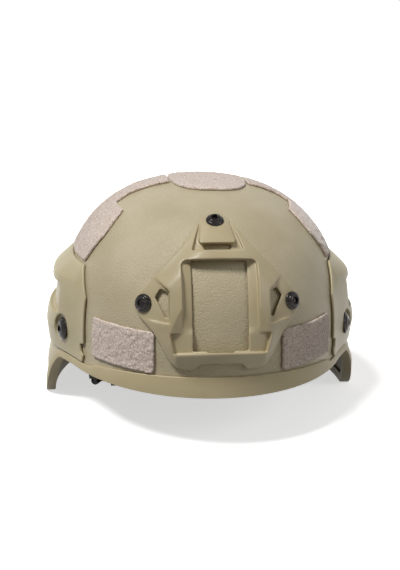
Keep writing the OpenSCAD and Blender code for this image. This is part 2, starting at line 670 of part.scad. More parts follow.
// Angle, half length, middle height and half height of each pad on the wall
front_pad_spot = [0, 46, 84, 17];
rear_pad_spot = [180, 46, 92, 19];
side_front_pad_spot = [50, 29, 103, 19];
side_rear_pad_spot = [117, 29, 103, 19];
module wall_pad_at(s) wall_pad(s[0], s[1], s[2], s[3]);
module front_pad() color(pad_color) wall_pad_at(front_pad_spot);
module rear_pad() color(pad_color) wall_pad_at(rear_pad_spot);
module pad_front_left() color(pad_color) wall_pad_at(side_front_pad_spot);
module pad_front_right() color(pad_color) mirror([1, 0, 0]) wall_pad_at(side_front_pad_spot);
module pad_rear_left() color(pad_color) wall_pad_at(side_rear_pad_spot);
module pad_rear_right() color(pad_color) mirror([1, 0, 0]) wall_pad_at(side_rear_pad_spot);

// The hook discs follow the shell's inner face
module wall_disc(t_mid, z_mid) {
    n = 4;
    function grid(off) = [for (v = shares(n)) [for (u = shares(n))
        let (half = max(4, disc_r * sqrt(1 - v * v)))
        skin(t_mid + u * half / plan_r(t_mid, -shell_t) * 180 / PI, z_mid + v * disc_r * 0.94, off)]];
    slab(grid(-shell_t - disc_gap), grid(-shell_t - disc_gap - disc_t));
}
module crown_disc() {
    n = 16;
    function ring(r, off) = [for (i = [0:n - 1]) roof(r * cos(360 * i / n), r * sin(360 * i / n), off)];
    high = -shell_t - disc_gap;
    low = high - disc_t;
    rings_between(roof(0, 0, high), [ring(disc_r, high), ring(disc_r, low)], roof(0, 0, low));
}
module pad_discs() color([0.08, 0.08, 0.08]) {
    crown_disc();
    for (s = [front_pad_spot, rear_pad_spot]) wall_disc(s[0], s[2]);
    for (left = [true, false]) left_or_right(left)
        for (s = [side_front_pad_spot, side_rear_pad_spot]) wall_disc(s[0], s[2]);
}

// Fit dial: a pinion on the knob draws two toothed bands into the housing
pitch_r = pinion_teeth * tooth_module / 2;
tooth_pitch = PI * tooth_module;
tooth_tip = 0.8 * tooth_module;
tooth_root = 1.05 * tooth_module;
tooth_play = 0.22;
// The pinion's root runs as a journal in the housing's bore
journal_r = pitch_r - tooth_root;
journal_gap = 0.06;
// Half width of a band's tooth at a height above its pitch line
function tooth_half(h) = tooth_pitch / 4 - tooth_play - h * tan(20);
housing_l = 58;
housing_h = 2 * (pitch_r + band_h) + 8;
housing_t = band_t + 5;
cavity_t = band_t + 2 * run_gap;
cavity_h = 2 * (pitch_r + band_h + run_gap);
module at_dial() translate([0, dial_y, dial_z]) rotate([-90, 0, 0]) children();
module pill(l, h) {
    hull() for (s = [-1, 1]) translate([s * (l - h) / 2, 0]) circle(d = h);
}
screw_x = 14;
screw_d = 2;
screw_gap = 0.1;
screw_head_h = 1;
screw_spots = [for (sx = [-1, 1]) for (sy = [-1, 1]) [sx * screw_x, sy * (housing_h / 2 - screw_d)]];
module screw_holes() for (s = screw_spots) translate([s.x, s.y, -housing_t])
    cylinder(h = 2 * housing_t, d = screw_d + 2 * screw_gap);
module dial_body(z_low, z_high)
    translate([0, 0, z_low]) linear_extrude(z_high - z_low) pill(housing_l, housing_h);
module dial_cavity() cube([housing_l + 10, cavity_h, cavity_t], center = true);
module dial_housing() color([0.10, 0.10, 0.10]) at_dial() {
    difference() {
        dial_body(-cavity_t / 2, housing_t / 2);
        dial_cavity();
        cylinder(h = housing_t, r = journal_r + journal_gap);
        screw_holes();
    }
}
module dial_cover() color([0.10, 0.10, 0.10]) at_dial() {
    difference() {
        dial_body(-housing_t / 2, -cavity_t / 2);
        screw_holes();
    }
}
module dial_screws() color([0.30, 0.30, 0.30]) at_dial() {
    for (s = screw_spots) translate([s.x, s.y, 0]) {
        translate([0, 0, -housing_t / 2]) cylinder(h = housing_t, d = screw_d);
        translate([0, 0, housing_t / 2]) cylinder(h = screw_head_h, d = 2 * screw_d);
    }
}
module pinion_shape() {
    tip_r = pitch_r + tooth_tip;
    root_half = tooth_pitch / 4 + 0.12;
    tip_half = 0.75 * tooth_half(tooth_tip);
    circle(journal_r);
    for (i = [0:pinion_teeth - 1]) rotate((i + 0.5) * 360 / pinion_teeth)
        polygon([[0, -0.8], [journal_r, -root_half], [pitch_r, -tooth_half(0)], [tip_r, -tip_half],
                 [tip_r, tip_half], [pitch_r, tooth_half(0)], [journal_r, root_half], [0, 0.8]]);
}
knob_notches = 18;
knob_notch_r = 2.4;
knob_rim = 7;
module dial_knob() color([0.08, 0.08, 0.08]) at_dial() {
    linear_extrude(band_t, center = true) pinion_shape();
    cylinder(h = housing_t / 2 + run_gap + knob_h / 2, r = journal_r);
    translate([0, 0, housing_t / 2 + run_gap]) difference() {
        cylinder(h = knob_h, d = knob_d);
        for (i = [1:knob_notches]) rotate(i * 360 / knob_notches)
            translate([knob_d / 2 + 1.4, 0, -1]) cylinder(h = knob_h + 2, r = knob_notch_r);
        translate([0, 0, knob_h - 1.5]) cylinder(h = 3, d = knob_d - 2 * knob_rim);
    }
}
band_out = 66;
band_in = 20;
band_slot = 2.6;
module band_shape() {
    base_half = tooth_half(-tooth_root - 0.1);
    tip_half = tooth_half(tooth_tip);
    difference() {
        union() {
            translate([-band_in, tooth_root]) square([band_in + band_out, band_h - tooth_root]);
            for (i = [-5:5]) translate([i * tooth_pitch, 0])
                polygon([[-base_half, tooth_root + 0.1], [-tip_half, -tooth_tip], [tip_half, -tooth_tip],
                         [base_half, tooth_root + 0.1]]);
        }
        translate([band_out - 5, tooth_root + 1]) square([band_slot, band_h - tooth_root - 2]);
    }
}
module band(left) color([0.14, 0.14, 0.14]) at_dial() rotate(left ? 0 : 180)
    translate([0, pitch_r, 0]) linear_extrude(band_t, center = true) band_shape();
module band_left() band(true);
module band_right() band(false);

// The webbing that carries the bands: it lies along a band's inner face, then runs to the rear anchor
fit_strap_from = band_out - 8;
fit_strap_wide = 6;
module fit_strap(left) {
    y_band = dial_y - band_t / 2 - run_gap - web_t / 2;
    z_band = dial_z + (left ? -1 : 1) * (pitch_r + (band_h + tooth_root) / 2);
    narrow = (band_h - tooth_root) / 2;
    bolt_at = skin(rail_bolt_rear[0], rail_bolt_rear[1], 0);
    bolt_way = skin_normal(rail_bolt_rear[0], rail_bolt_rear[1], 0);
    plate_edge = aimed(bolt_at, bolt_way, [1, anchor_plate_w / 2 + run_gap, nut_face - web_t]);
    before_plate = aimed(bolt_at, bolt_way, [4, anchor_plate_w / 2 + 9, nut_face - 3 * web_t]);
    // The webbing leaves the band just past its end, then turns towards the plate
    bend_x = band_out + 1;
    function past_bend(share) = mix(bend_x, before_plate.x, share);
    function rise(share) = mix(z_band, before_plate.z, share);
    // Middle point and half height of the webbing along its way
    route = [
        [[fit_strap_from, y_band, z_band], narrow], [[bend_x, y_band, z_band], narrow],
        [[past_bend(0.45), y_band, rise(0.2)], mix(narrow, fit_strap_wide, 0.4)],
        [[past_bend(0.8), y_band - 6, rise(0.5)], mix(narrow, fit_strap_wide, 0.7)],
        [before_plate, fit_strap_wide], [plate_edge, fit_strap_wide]
    ];
    last = len(route) - 1;
    function side(i) = let (a = route[max(0, i - 1)][0], b = route[min(last, i + 1)][0],
                            d = unit([b.x - a.x, b.y - a.y])) [-d.y, d.x, 0] * web_t / 2;
    function grid(s) = [for (v = [-1, 1]) [for (i = [0:last])
        route[i][0] + [0, 0, v * route[i][1]] + s * side(i)]];
    color([0.30, 0.26, 0.20]) mirror([left ? 0 : 1, 0, 0]) slab(grid(-1), grid(1));
}
module fit_strap_left() fit_strap(true);
module fit_strap_right() fit_strap(false);

// A soft pad between the dial's cover and the nape
nape_pad_l = 70;
nape_pad_h = 40;
nape_pad_t = 9;
nape_pad_edge_t = 2;
nape_pad_bow = 8;
module nape_pad() {
    n = 9;
    face = dial_y - housing_t / 2 - run_gap;
    function deep(u, v) = mix(nape_pad_edge_t, nape_pad_t, fullness(u, v)) + nape_pad_bow * u * u;
    function grid(front) = [for (v = shares(n)) [for (u = shares(n))
        [u * nape_pad_l / 2 * (1 - 0.12 * v * v), face - (front ? deep(u, v) : 0),
         dial_z + v * nape_pad_h / 2 * (1 - 0.1 * u * u)]]];
    color([0.20, 0.15, 0.11]) slab(grid(true), grid(false));
}

// Side straps: two strips of webbing from the anchors to a ring, drawn flat in their common plane
ring_bar_d = 3;
table_gap = 0.3;
ring_z = ring_bar_d / 2 + run_gap + web_t + table_gap;
strap_drop = norm([anchor_x - ring_x, anchor_z - ring_z]);
strap_lean = atan((anchor_x - ring_x) / (anchor_z - ring_z));
ring_y = 10;
// The rear strap lies on the front one where both pass through the ring's plate
layer_gap = 0.2;
layer_step = web_t + layer_gap;
web_color = [0.36, 0.31, 0.22];
module side_plane() translate([anchor_x, 0, anchor_z]) rotate([0, strap_lean, 0]) children();
// The strips end this far from the ring's bar, and narrow by this much on each side
strap_end = 7;
strap_taper = 3;
// Clearance of a webbing's slot or loop
slot_gap = 0.3;
// A strip of the plane between two points, with a loop round the anchor's bar at its upper end
module side_strap(spot, layer) {
    y = anchor_y(spot);
    low_y = ring_y + (y < ring_y ? -1 : 1);
    top = -bar_d / 2 - run_gap - slot_gap;
    side_plane() difference() {
        union() {
            translate([0, y, 0]) rotate([90, 0, 0]) cylinder(h = web_w, d = loop_d, center = true);
            translate([layer * layer_step - web_t / 2, 0, 0]) rotate([90, 0, 90]) linear_extrude(web_t)
                polygon([[y - web_w / 2, top], [y + web_w / 2, top],
                         [low_y + web_w / 2 - strap_taper, strap_end - strap_drop],
                         [low_y - web_w / 2 + strap_taper, strap_end - strap_drop]]);
        }
        translate([0, y, 0]) rotate([90, 0, 0])
            cylinder(h = web_w + 2, d = bar_d + 2 * run_gap, center = true);
    }
}
module strap_front_left() color(web_color) side_strap(rail_bolt_front, 0);
module strap_rear_left() color(web_color) side_strap(rail_bolt_rear, 1);
module strap_front_right() color(web_color) mirror([1, 0, 0]) side_strap(rail_bolt_front, 0);
module strap_rear_right() color(web_color) mirror([1, 0, 0]) side_strap(rail_bolt_rear, 1);

// The ring joins the side straps to the chin strap
ring_wall = 1.5;
ring_plate = [5, 5];
module strap_ring() color([0.12, 0.12, 0.12]) {
    w = web_w + 10;
    low = ring_plate[0];
    front = web_t / 2 + layer_step + layer_gap;
    back = -web_t / 2 - layer_gap;
    side_plane() translate([0, ring_y, -strap_drop]) {
        rotate([90, 0, 0]) cylinder(h = w, d = ring_bar_d, center = true);
        for (s = [-1, 1]) translate([-ring_wall, s * w / 2 - ring_wall, 0])
            cube([2 * ring_wall, 2 * ring_wall, low + 4]);
        for (x = [front, back - ring_wall]) translate([x, -w / 2 - ring_wall, low])
            cube([ring_wall, w + 2 * ring_wall, ring_plate[1]]);
        for (s = [-1, 1]) translate([back - ring_wall, s * (w / 2 + 0.5) - 1, low])
            cube([front - back + 2 * ring_wall, 2, ring_plate[1]]);
    }
}
module strap_ring_left() strap_ring();
module strap_ring_right() mirror([1, 0, 0]) strap_ring();

// The chin strap lies on the table level, from the ring towards the middle
module chin_web(reach) {
    ring_loop_d = ring_bar_d + 2 * run_gap + 2 * web_t;
    translate([ring_x, ring_y, ring_z]) difference() {
        union() {
            rotate([90, 0, 0]) cylinder(h = web_w, d = ring_loop_d, center = true);
            translate([-reach, -web_w / 2, -web_t / 2])
                cube([reach - ring_bar_d / 2 - run_gap - slot_gap, web_w, web_t]);
        }
        rotate([90, 0, 0]) cylinder(h = web_w + 2, d = ring_bar_d + 2 * run_gap, center = true);
    }
}
chin_left_reach = 92;
chin_right_reach = 17;
module chin_strap_left() color(web_color) chin_web(chin_left_reach);
module chin_strap_right() color(web_color) mirror([1, 0, 0]) chin_web(chin_right_reach);
slider_l = 11;
slider_wall = 1.2;
slider_from_ring = 16;
module strap_slider() color([0.10, 0.10, 0.10])
    translate([ring_x - slider_from_ring, ring_y, ring_z]) difference() {
        slot = [slider_l + 1, web_w + 2 * run_gap, web_t + 2 * run_gap];
        cube([slider_l, slot.y + 4 * slider_wall, slot.z + 2 * slider_wall], center = true);
        cube(slot, center = true);
    }
// The cup is a soft pad round the strap: heights over the strap's middle at its edge and in its middle
cup_from_ring = 33;
cup_top = [1.8, 5.5];
cup_bottom = [-1.8, -2.9];
module chin_cup() {
    n = 8;
    mid = ring_x - cup_from_ring - cup_l / 2;
    function face(heights) = [for (v = shares(n)) [for (u = shares(n))
        [mid + u * cup_l / 2 * (1 - 0.08 * v * v), ring_y + v * cup_w / 2 * (1 - 0.1 * u * u),
         ring_z + mix(heights[0], heights[1], fullness(u, v))]]];
    color([0.20, 0.15, 0.11]) difference() {
        slab(face(cup_top), face(cup_bottom));
        translate([mid, ring_y, ring_z])
            cube([cup_l + 2, web_w + 2 * slot_gap, web_t + 2 * slot_gap], center = true);
    }
}
// The webbing ends this deep in each half of the buckle
buckle_seat = 4;
module buckle_slot()
    translate([-0.5, -web_w / 2 - slot_gap, -web_t / 2 - slot_gap])
        cube([buckle_seat + 1, web_w + 2 * slot_gap, web_t + 2 * slot_gap]);
plug_l = 12;
plug_inset = 0.4;
prong = [13, 2.4, 2.8];
catch = [5, 4.6, 2.8];
guide = [13, 4, 2];
module buckle_plug() color([0.08, 0.08, 0.08])
    translate([ring_x - chin_left_reach, ring_y, ring_z]) {
        prong_x = buckle_seat - plug_l + 1 - prong.x;
        difference() {
            translate([buckle_seat - plug_l, -buckle_w / 2, plug_inset - buckle_t / 2])
                cube([plug_l, buckle_w, buckle_t - 2 * plug_inset]);
            buckle_slot();
        }
        translate([prong_x, -guide.y / 2, -guide.z / 2]) cube(guide);
        both_ways() {
            translate([prong_x, buckle_w / 2 - 6, -prong.z / 2]) cube(prong);
            translate([prong_x - 1, buckle_w / 2 - 6, -catch.z / 2]) cube(catch);
        }
    }
socket_l = 20;
// Walls of the socket at its sides and over its faces
socket_wall = [2, 1.4];
catch_window = 7;
module buckle_socket() color([0.08, 0.08, 0.08]) mirror([1, 0, 0])
    translate([ring_x - chin_right_reach, ring_y, ring_z]) {
        hollow_t = buckle_t - 2 * socket_wall[1];
        difference() {
            translate([buckle_seat - socket_l, -buckle_w / 2, -buckle_t / 2])
                cube([socket_l, buckle_w, buckle_t]);
            buckle_slot();
            translate([buckle_seat - socket_l - 1, socket_wall[0] - buckle_w / 2, -hollow_t / 2])
                cube([socket_l - 6, buckle_w - 2 * socket_wall[0], hollow_t]);
            both_ways() translate([-9, buckle_w / 2 - socket_wall[0] - 1, -hollow_t / 2])
                cube([catch_window, socket_wall[0] + 3, hollow_t]);
        }
    }

shell();
edge_trim();
brow_mount();
mount_bolts();
mount_nuts();
rail_left();
rail_right();
rail_bolts();
rail_nuts();
strap_anchors();
patch_top();
patch_side_left();
patch_side_right();
patch_front_left();
patch_front_right();
patch_rear();
crown_pad();
front_pad();
rear_pad();
pad_front_left();
pad_front_right();
pad_rear_left();
pad_rear_right();
pad_discs();
dial_housing();
dial_cover();
dial_screws();
dial_knob();
band_left();
band_right();
fit_strap_left();
fit_strap_right();
nape_pad();
strap_front_left();
strap_rear_left();
strap_ring_left();
chin_strap_left();
strap_slider();
chin_cup();
buckle_plug();
strap_front_right();
strap_rear_right();
strap_ring_right();
chin_strap_right();
buckle_socket();
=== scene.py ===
import math
import bpy
import numpy as np
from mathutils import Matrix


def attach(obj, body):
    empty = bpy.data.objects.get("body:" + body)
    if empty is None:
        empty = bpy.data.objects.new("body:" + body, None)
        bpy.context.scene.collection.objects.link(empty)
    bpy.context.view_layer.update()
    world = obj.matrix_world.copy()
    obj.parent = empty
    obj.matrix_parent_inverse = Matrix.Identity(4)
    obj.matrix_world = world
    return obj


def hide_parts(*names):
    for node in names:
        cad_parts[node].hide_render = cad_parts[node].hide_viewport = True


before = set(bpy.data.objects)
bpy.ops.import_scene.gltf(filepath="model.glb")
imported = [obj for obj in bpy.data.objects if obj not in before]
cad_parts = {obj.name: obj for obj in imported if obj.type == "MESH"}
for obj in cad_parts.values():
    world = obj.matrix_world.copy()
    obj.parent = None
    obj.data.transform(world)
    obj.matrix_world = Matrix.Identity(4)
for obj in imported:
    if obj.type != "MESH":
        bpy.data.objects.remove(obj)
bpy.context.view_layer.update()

import openvdb
from mathutils import Matrix, Vector

# Sizes in metres, angles in degrees

MM = 0.001
HALF_W = 112 * MM
FRONT_L = 139 * MM
REAR_L = 141 * MM
DOME_H = 112 * MM
WIDEST_Z = 64 * MM
DOME_EXP = 2.4
SHELL_T = 4 * MM
BROW_Z = 43 * MM
NAPE_Z = 16 * MM
EAR_FLARE = 15 * MM
BROW_FLARE = 3 * MM
NAPE_SWELL = 0.25
SWELL_TOP_Z = 85 * MM
SWELL_DROP = 60 * MM
BROW_TURN_DROP = 23 * MM
TRIM_T = 1.6 * MM
TRIM_GAP = 0.2 * MM
TRIM_BROW_H = 13 * MM
TRIM_EAR_H = 3.6 * MM
TRIM_INNER_H = 6 * MM
BROW_END = 46
EAR_Z = TRIM_T + TRIM_GAP

RAIL_FROM = 52.3
RAIL_TO = 135
RAIL_T = 12 * MM
RAIL_EDGE_T = 2.6 * MM
RAIL_LOW_Z = BROW_Z + TRIM_EAR_H + 0.6 * MM
RAIL_HIGH_Z = 119 * MM
CHANNEL_D = 4.5 * MM
RAIL_BOLT_FRONT = (67, 65.5 * MM)
RAIL_BOLT_REAR = (121, 70 * MM)
RAIL_HEAD_R = 9 * MM
RAIL_RECESS_R = RAIL_HEAD_R + 2 * MM
RAIL_FLOOR_T = 6 * MM

MOUNT_LEAN = 20
MOUNT_T = 9 * MM
MOUNT_EDGE_T = 4.2 * MM
LEDGE_T = 4.5 * MM
TAB_FLOOR_T = 2.2 * MM
BOLT_SPOTS = ((0, 55.8), (51.8, -1.5), (-51.8, -1.5))
MOUNT_SEAT = LEDGE_T - 0.7 * MM
MOUNT_HEAD_R = 6.8 * MM
MOUNT_RECESS_R = MOUNT_HEAD_R + 0.5 * MM
SHANK_R = 2.5 * MM
HOLE_R = SHANK_R + 0.25 * MM
SOCKET_R = 2.8 * MM
HEAD_H = 3.4 * MM
HEAD_INSET = 0.2 * MM
NUT_FACE = -SHELL_T * 1.1 - 0.7 * MM
NUT_T = 3 * MM
SHANK_END = 1.2 * MM
ANCHOR_T = 1.6 * MM
ANCHOR_NUT_GAP = 0.2 * MM
WIDE_SEAT_GAP = 0.4 * MM

PATCH_T = 2.2 * MM
PATCH_R = 4 * MM
SEAT_GAP = 0.25 * MM

WEB_W, WEB_T = 19 * MM, 1.8 * MM
RUN_GAP = 0.4 * MM
ANCHOR_X, ANCHOR_Z = HALF_W - 19 * MM, 51 * MM
ANCHOR_BAR_R = 1.6 * MM
ANCHOR_PLATE_W = WEB_W + 5.5 * MM
RING_BAR_R = 1.5 * MM
RING_X, RING_Y = ANCHOR_X - 5 * MM, 10 * MM
RING_Z = RING_BAR_R + RUN_GAP + WEB_T + 0.3 * MM
STRAP_DROP = math.hypot(ANCHOR_X - RING_X, ANCHOR_Z - RING_Z)
STRAP_LEAN = math.atan2(ANCHOR_X - RING_X, ANCHOR_Z - RING_Z)
STRAP_END = 7 * MM
STRAP_TAPER = 3 * MM
LAYER_STEP = WEB_T + 0.2 * MM
CHIN_LEFT_REACH = 92 * MM
CHIN_RIGHT_REACH = 17 * MM
PITCH_R = 6 * MM
BAND_H = 6.5 * MM
BAND_T = 2 * MM
BAND_OUT = 66 * MM
TOOTH_ROOT = 1.05 * MM
DIAL_Y, DIAL_Z = 100 * MM, 36 * MM
FIT_STRAP_HALF = 6 * MM
DISC_GAP, DISC_T = 0.7 * MM, 1.4 * MM
PAD_T = 18 * MM

# Middle of the dome's foot
CENTRE = np.array([0, 0, WIDEST_Z])


# Shapes of the shell, worked out for whole arrays of points

def smooth(x):
    c = np.clip(x, 0, 1)
    return c * c * (3 - 2 * c)


def mix(a, b, k):
    return a + (b - a) * k


def flipped(points, side):
    """The points, or their mirror image in X where side is -1."""
    return points * np.array([side, 1, 1])


def sin_deg(t):
    return np.sin(np.radians(t))


def cos_deg(t):
    return np.cos(np.radians(t))


def ear_share(t):
    return smooth((t - 56) / 28) * (1 - (1 - NAPE_SWELL) * smooth((t - 118) / 34))


def flare(t, z):
    share = ear_share(np.abs(t))
    ear = EAR_FLARE * share * smooth((SWELL_TOP_Z - z) / SWELL_DROP)
    brow = BROW_FLARE * (1 - share) * np.clip((WIDEST_Z - z) / BROW_TURN_DROP, 0, 1) ** 2
    return ear + brow


def plan_r(t, off):
    length = np.where(cos_deg(t) > 0, FRONT_L, REAR_L) + off
    return 1 / np.hypot(sin_deg(t) / (HALF_W + off), cos_deg(t) / length)


def waist(z, off):
    rise = np.maximum(0, z - WIDEST_Z) / (DOME_H + off)
    return np.maximum(0, 1 - rise ** DOME_EXP) ** (1 / DOME_EXP)


def skin(t, z, off=0):
    """Points at an angle from the brow and a height, moved out of the shell's face by off."""
    t, z, off = np.broadcast_arrays(t, z, off)
    r = plan_r(t, off) * waist(z, off) + flare(t, z)
    return np.stack((r * sin_deg(t), -r * cos_deg(t), z), -1)


def dome_z(angle, off):
    return WIDEST_Z + (DOME_H + off) * cos_deg(angle) ** (2 / DOME_EXP)


def roof(x, y, off):
    """Points of the dome over points of the plan."""
    x, y, off = np.broadcast_arrays(x, y, off)
    p = np.hypot(x / (HALF_W + off), y / (np.where(y < 0, FRONT_L, REAR_L) + off))
    rise = np.maximum(0, 1 - p ** DOME_EXP) ** (1 / DOME_EXP)
    return np.stack((x, y, WIDEST_Z + (DOME_H + off) * rise), -1)


def level(p, off):
    """Less than 1 inside the face that skin() gives, more than 1 outside it."""
    x, y, z = np.moveaxis(p, -1, 0)
    r = np.hypot(x, y)
    k = np.maximum(0, r - flare(np.degrees(np.arctan2(x, -y)), z)) / r
    plan = np.hypot(k * x / (HALF_W + off), k * y / (np.where(y < 0, FRONT_L, REAR_L) + off))
    rise = np.maximum(0, z - WIDEST_Z) / (DOME_H + off)
    return plan ** DOME_EXP + rise ** DOME_EXP


def picked(spots, along, path):
    """A path's values at spots along it."""
    return np.stack([np.interp(spots, along, values) for values in path.T], -1)


def length_of(v):
    return np.linalg.norm(v, axis=-1, keepdims=True)


def unit(v):
    return v / length_of(v)


def lengths_along(path):
    return np.concatenate(([0], np.cumsum(np.linalg.norm(np.diff(path, axis=0), axis=1))))


def normal_of(point_at, a, b, step_a, step_b):
    """Normal of the face whose points are point_at(a, b)."""
    across = point_at(a + step_a, b) - point_at(a - step_a, b)
    up = point_at(a, b + step_b) - point_at(a, b - step_b)
    return unit(np.cross(across, up))


def rim_z(t):
    a = np.abs(t)
    ear = mix(BROW_Z, EAR_Z, smooth((a - 69) / 19))
    nape = mix(EAR_Z, NAPE_Z, smooth((a - 125) / 27))
    return np.where(a < 107, ear, nape)


def rim_slope(t):
    return (rim_z(t + 0.5) - rim_z(t - 0.5)) / (plan_r(t, 0) * math.pi / 180)


def trim_leg(t):
    a = np.abs(t)
    brow = TRIM_BROW_H * (1 - 0.5 * (np.minimum(a, BROW_END) / BROW_END) ** 2)
    return mix(brow, TRIM_EAR_H, smooth((a - BROW_END + 2) / 5))


def trim_point(t, off, d):
    """A point at a distance from the shell's edge, measured square to that edge along the shell."""
    s = rim_slope(t)
    n = np.hypot(s, 1)
    return skin(t - np.degrees(s * d / n / plan_r(t, 0)), rim_z(t) + d / n, off)


def mount_point(x, q, w):
    """Points on the brow mount's own axes: across, up its leaning plane, and out of that plane."""
    s, c = sin_deg(MOUNT_LEAN), cos_deg(MOUNT_LEAN)
    x, q, w = np.broadcast_arrays(x, q, w)
    return np.stack((x, q * s - w * c, WIDEST_Z + q * c + w * s), -1)


def skin_w(x, q):
    """Where the brow mount's axis meets the shell's face, found by halving."""
    x, q = np.broadcast_arrays(np.asarray(x, float), np.asarray(q, float))
    low, high = np.full(x.shape, 60 * MM), np.full(x.shape, 190 * MM)
    for _ in range(26):
        mid = (low + high) / 2
        outside = level(mount_point(x, q, mid), 0) > 1
        high = np.where(outside, mid, high)
        low = np.where(outside, low, mid)
    return (low + high) / 2


def over_skin(x, q, h=0):
    """Points at a height over the shell's face, along the brow mount's axis."""
    return mount_point(x, q, skin_w(x, q) + h)


def axes_of(*spans):
    """Even steps from low to high for each span, which is in mm."""
    return tuple(np.arange(low, high, step) * MM for low, high, step in spans)


# Mesh helpers

def grid_faces(rows, cols):
    """Quads between rows of points, each of which closes on itself."""
    i, j = np.meshgrid(np.arange(rows - 1), np.arange(cols), indexing="ij")
    a, b = i * cols + j, i * cols + (j + 1) % cols
    return np.stack((a, b, b + cols, a + cols), -1).reshape(-1, 4)


def capped_faces(rows, cols):
    """Those quads, and triangles to one more point at each end."""
    tip = rows * cols
    last = tip - cols
    faces = grid_faces(rows, cols).tolist()
    faces += [[tip, (j + 1) % cols, j] for j in range(cols)]
    return faces + [[tip + 1, last + j, last + (j + 1) % cols] for j in range(cols)]


def ring_faces(rows, cols):
    """Those quads, and the ones from the last row to the first."""
    faces = grid_faces(rows + 1, cols)
    return np.where(faces >= rows * cols, faces - rows * cols, faces)


def linked(name, data):
    obj = bpy.data.objects.new(name, data)
    bpy.context.scene.collection.objects.link(obj)
    return obj


def mesh_object(name, points, faces):
    mesh = bpy.data.meshes.new(name)
    faces = faces.tolist() if isinstance(faces, np.ndarray) else faces
    mesh.from_pydata(np.asarray(points).reshape(-1, 3).tolist(), [], faces)
    mesh.update()
    return linked(name, mesh)


def modify(obj, kind, **values):
    made = obj.modifiers.new(kind.lower(), kind)
    for key, value in values.items():
        setattr(made, key, value)
    return made


def settle(obj):
    """Gives an object the mesh that its modifiers make, and takes them off."""
    graph = bpy.context.evaluated_depsgraph_get()
    mesh = bpy.data.meshes.new_from_object(obj.evaluated_get(graph))
    obj.modifiers.clear()
    obj.data = mesh


def dress(obj, material, node_name=None, body="helmet", sharp=0):
    """Gives an object smooth shading, its material and body, and hides the CAD node that it stands in for."""
    obj.data.shade_smooth()
    if sharp:
        obj.data.set_sharp_from_angle(angle=math.radians(sharp))
    obj.data.materials.clear()
    obj.data.materials.append(material)
    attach(obj, body)
    # Blender adds a number to the name, because the frame has a material of that name
    if node_name:
        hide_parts(node_name)
    return obj


def piece(name, points, faces, *looks, **more):
    return dress(mesh_object(name, points, faces), *looks, **more)


def polygon_distance(x, y, corners):
    """Signed distance to a closed outline, negative inside."""
    best = np.full(x.shape, 1e9)
    inside = np.zeros(x.shape, bool)
    for (ax, ay), (bx, by) in zip(corners, corners[1:] + corners[:1]):
        ex, ey = bx - ax, by - ay
        along = np.clip(((x - ax) * ex + (y - ay) * ey) / (ex * ex + ey * ey), 0, 1)
        best = np.minimum(best, np.hypot(x - ax - along * ex, y - ay - along * ey))
        if ay != by:
            crosses = ((ay > y) != (by > y)) & (x < ax + (y - ay) / ey * ex)
            inside ^= crosses
    return np.where(inside, -best, best)


def blurred(field, passes):
    """Rounds every edge of a field, alike along each axis."""
    for axis in range(field.ndim):
        for _ in range(passes):
            field = (np.roll(field, 1, axis) + 2 * field + np.roll(field, -1, axis)) / 4
    return field


def surface_of(field, axes):
    """Points and quads of the face where a field is 0. The field is negative inside."""
    step = [axis[1] - axis[0] for axis in axes]
    grid = openvdb.FloatGrid(float(field.max()))
    grid.copyFromArray(np.ascontiguousarray(field, dtype=np.float32))
    points, quads = grid.convertToQuads(isovalue=0)
    starts = np.array([axis[0] for axis in axes])
    return points * np.array(step) + starts, quads[:, ::-1]


# Materials

def linear(colour):
    """A colour given as it shows on screen, 0 to 255, as Blender's linear values."""
    share = [c / 255 for c in colour]
    return tuple(c / 12.92 if c <= 0.04045 else ((c + 0.055) / 1.055) ** 2.4 for c in share) + (1,)


def give(made, **values):
    """Sets a node's properties, and its inputs, whose names start with a capital."""
    for key, value in values.items():
        if key[0].isupper():
            made.inputs[key.replace("_", " ")].default_value = value
        else:
            setattr(made, key, value)
    return made


def node(tree, kind, **values):
    return give(tree.nodes.new(kind), **values)


def link(source, target, name):
    """Joins a node's output to an input of another, by the input's name or number."""
    source.id_data.links.new(source, target.inputs[name])


def new_material(name, colour, roughness, **values):
    material = bpy.data.materials.new(name)
    material.use_nodes = True
    shader = material.node_tree.nodes["Principled BSDF"]
    return material, give(shader, Base_Color=linear(colour), Roughness=roughness, **values)


def noise_of(shader, size, detail=3, rough=0.55):
    """Noise whose spots are about the given size, in metres, fixed to the object."""
    tree = shader.id_data
    made = node(tree, "ShaderNodeTexNoise", Scale=1 / size, Detail=detail, Roughness=rough)
    link(node(tree, "ShaderNodeTexCoord").outputs["Object"], made, "Vector")
    return made.outputs["Fac"]


def math_of(operation, first, second):
    made = node(first.id_data, "ShaderNodeMath", operation=operation)
    link(first, made, 0)
    link(second, made, 1)
    return made.outputs["Value"]


def range_of(source, low, high, source_high=1):
    made = node(source.id_data, "ShaderNodeMapRange", From_Max=source_high, To_Min=low, To_Max=high)
    link(source, made, "Value")
    return made.outputs["Result"]


def tint(shader, source, *stops):
    """Colours a shader by a ramp of places and colours."""
    ramp = node(source.id_data, "ShaderNodeValToRGB")
    while len(ramp.color_ramp.elements) < len(stops):
        ramp.color_ramp.elements.new(0.5)
    for element, (place, colour) in zip(ramp.color_ramp.elements, stops):
        element.position = place
        element.color = linear(colour)
    link(source, ramp, "Fac")
    link(ramp.outputs["Color"], shader, "Base Color")


def bump(shader, height, depth, strength, under=None):
    made = node(shader.id_data, "ShaderNodeBump", Distance=depth, Strength=strength)
    link(height, made, "Height")
    if under:
        link(under, made, "Normal")
    link(made.outputs["Normal"], shader, "Normal")
    return made.outputs["Normal"]


def vary_gloss(shader, source, roughness, less, more):
    link(range_of(source, roughness - less, roughness + more), shader, "Roughness")


def lighter(colour, factor, more):
    return tuple(min(255, c * factor + more) for c in colour)


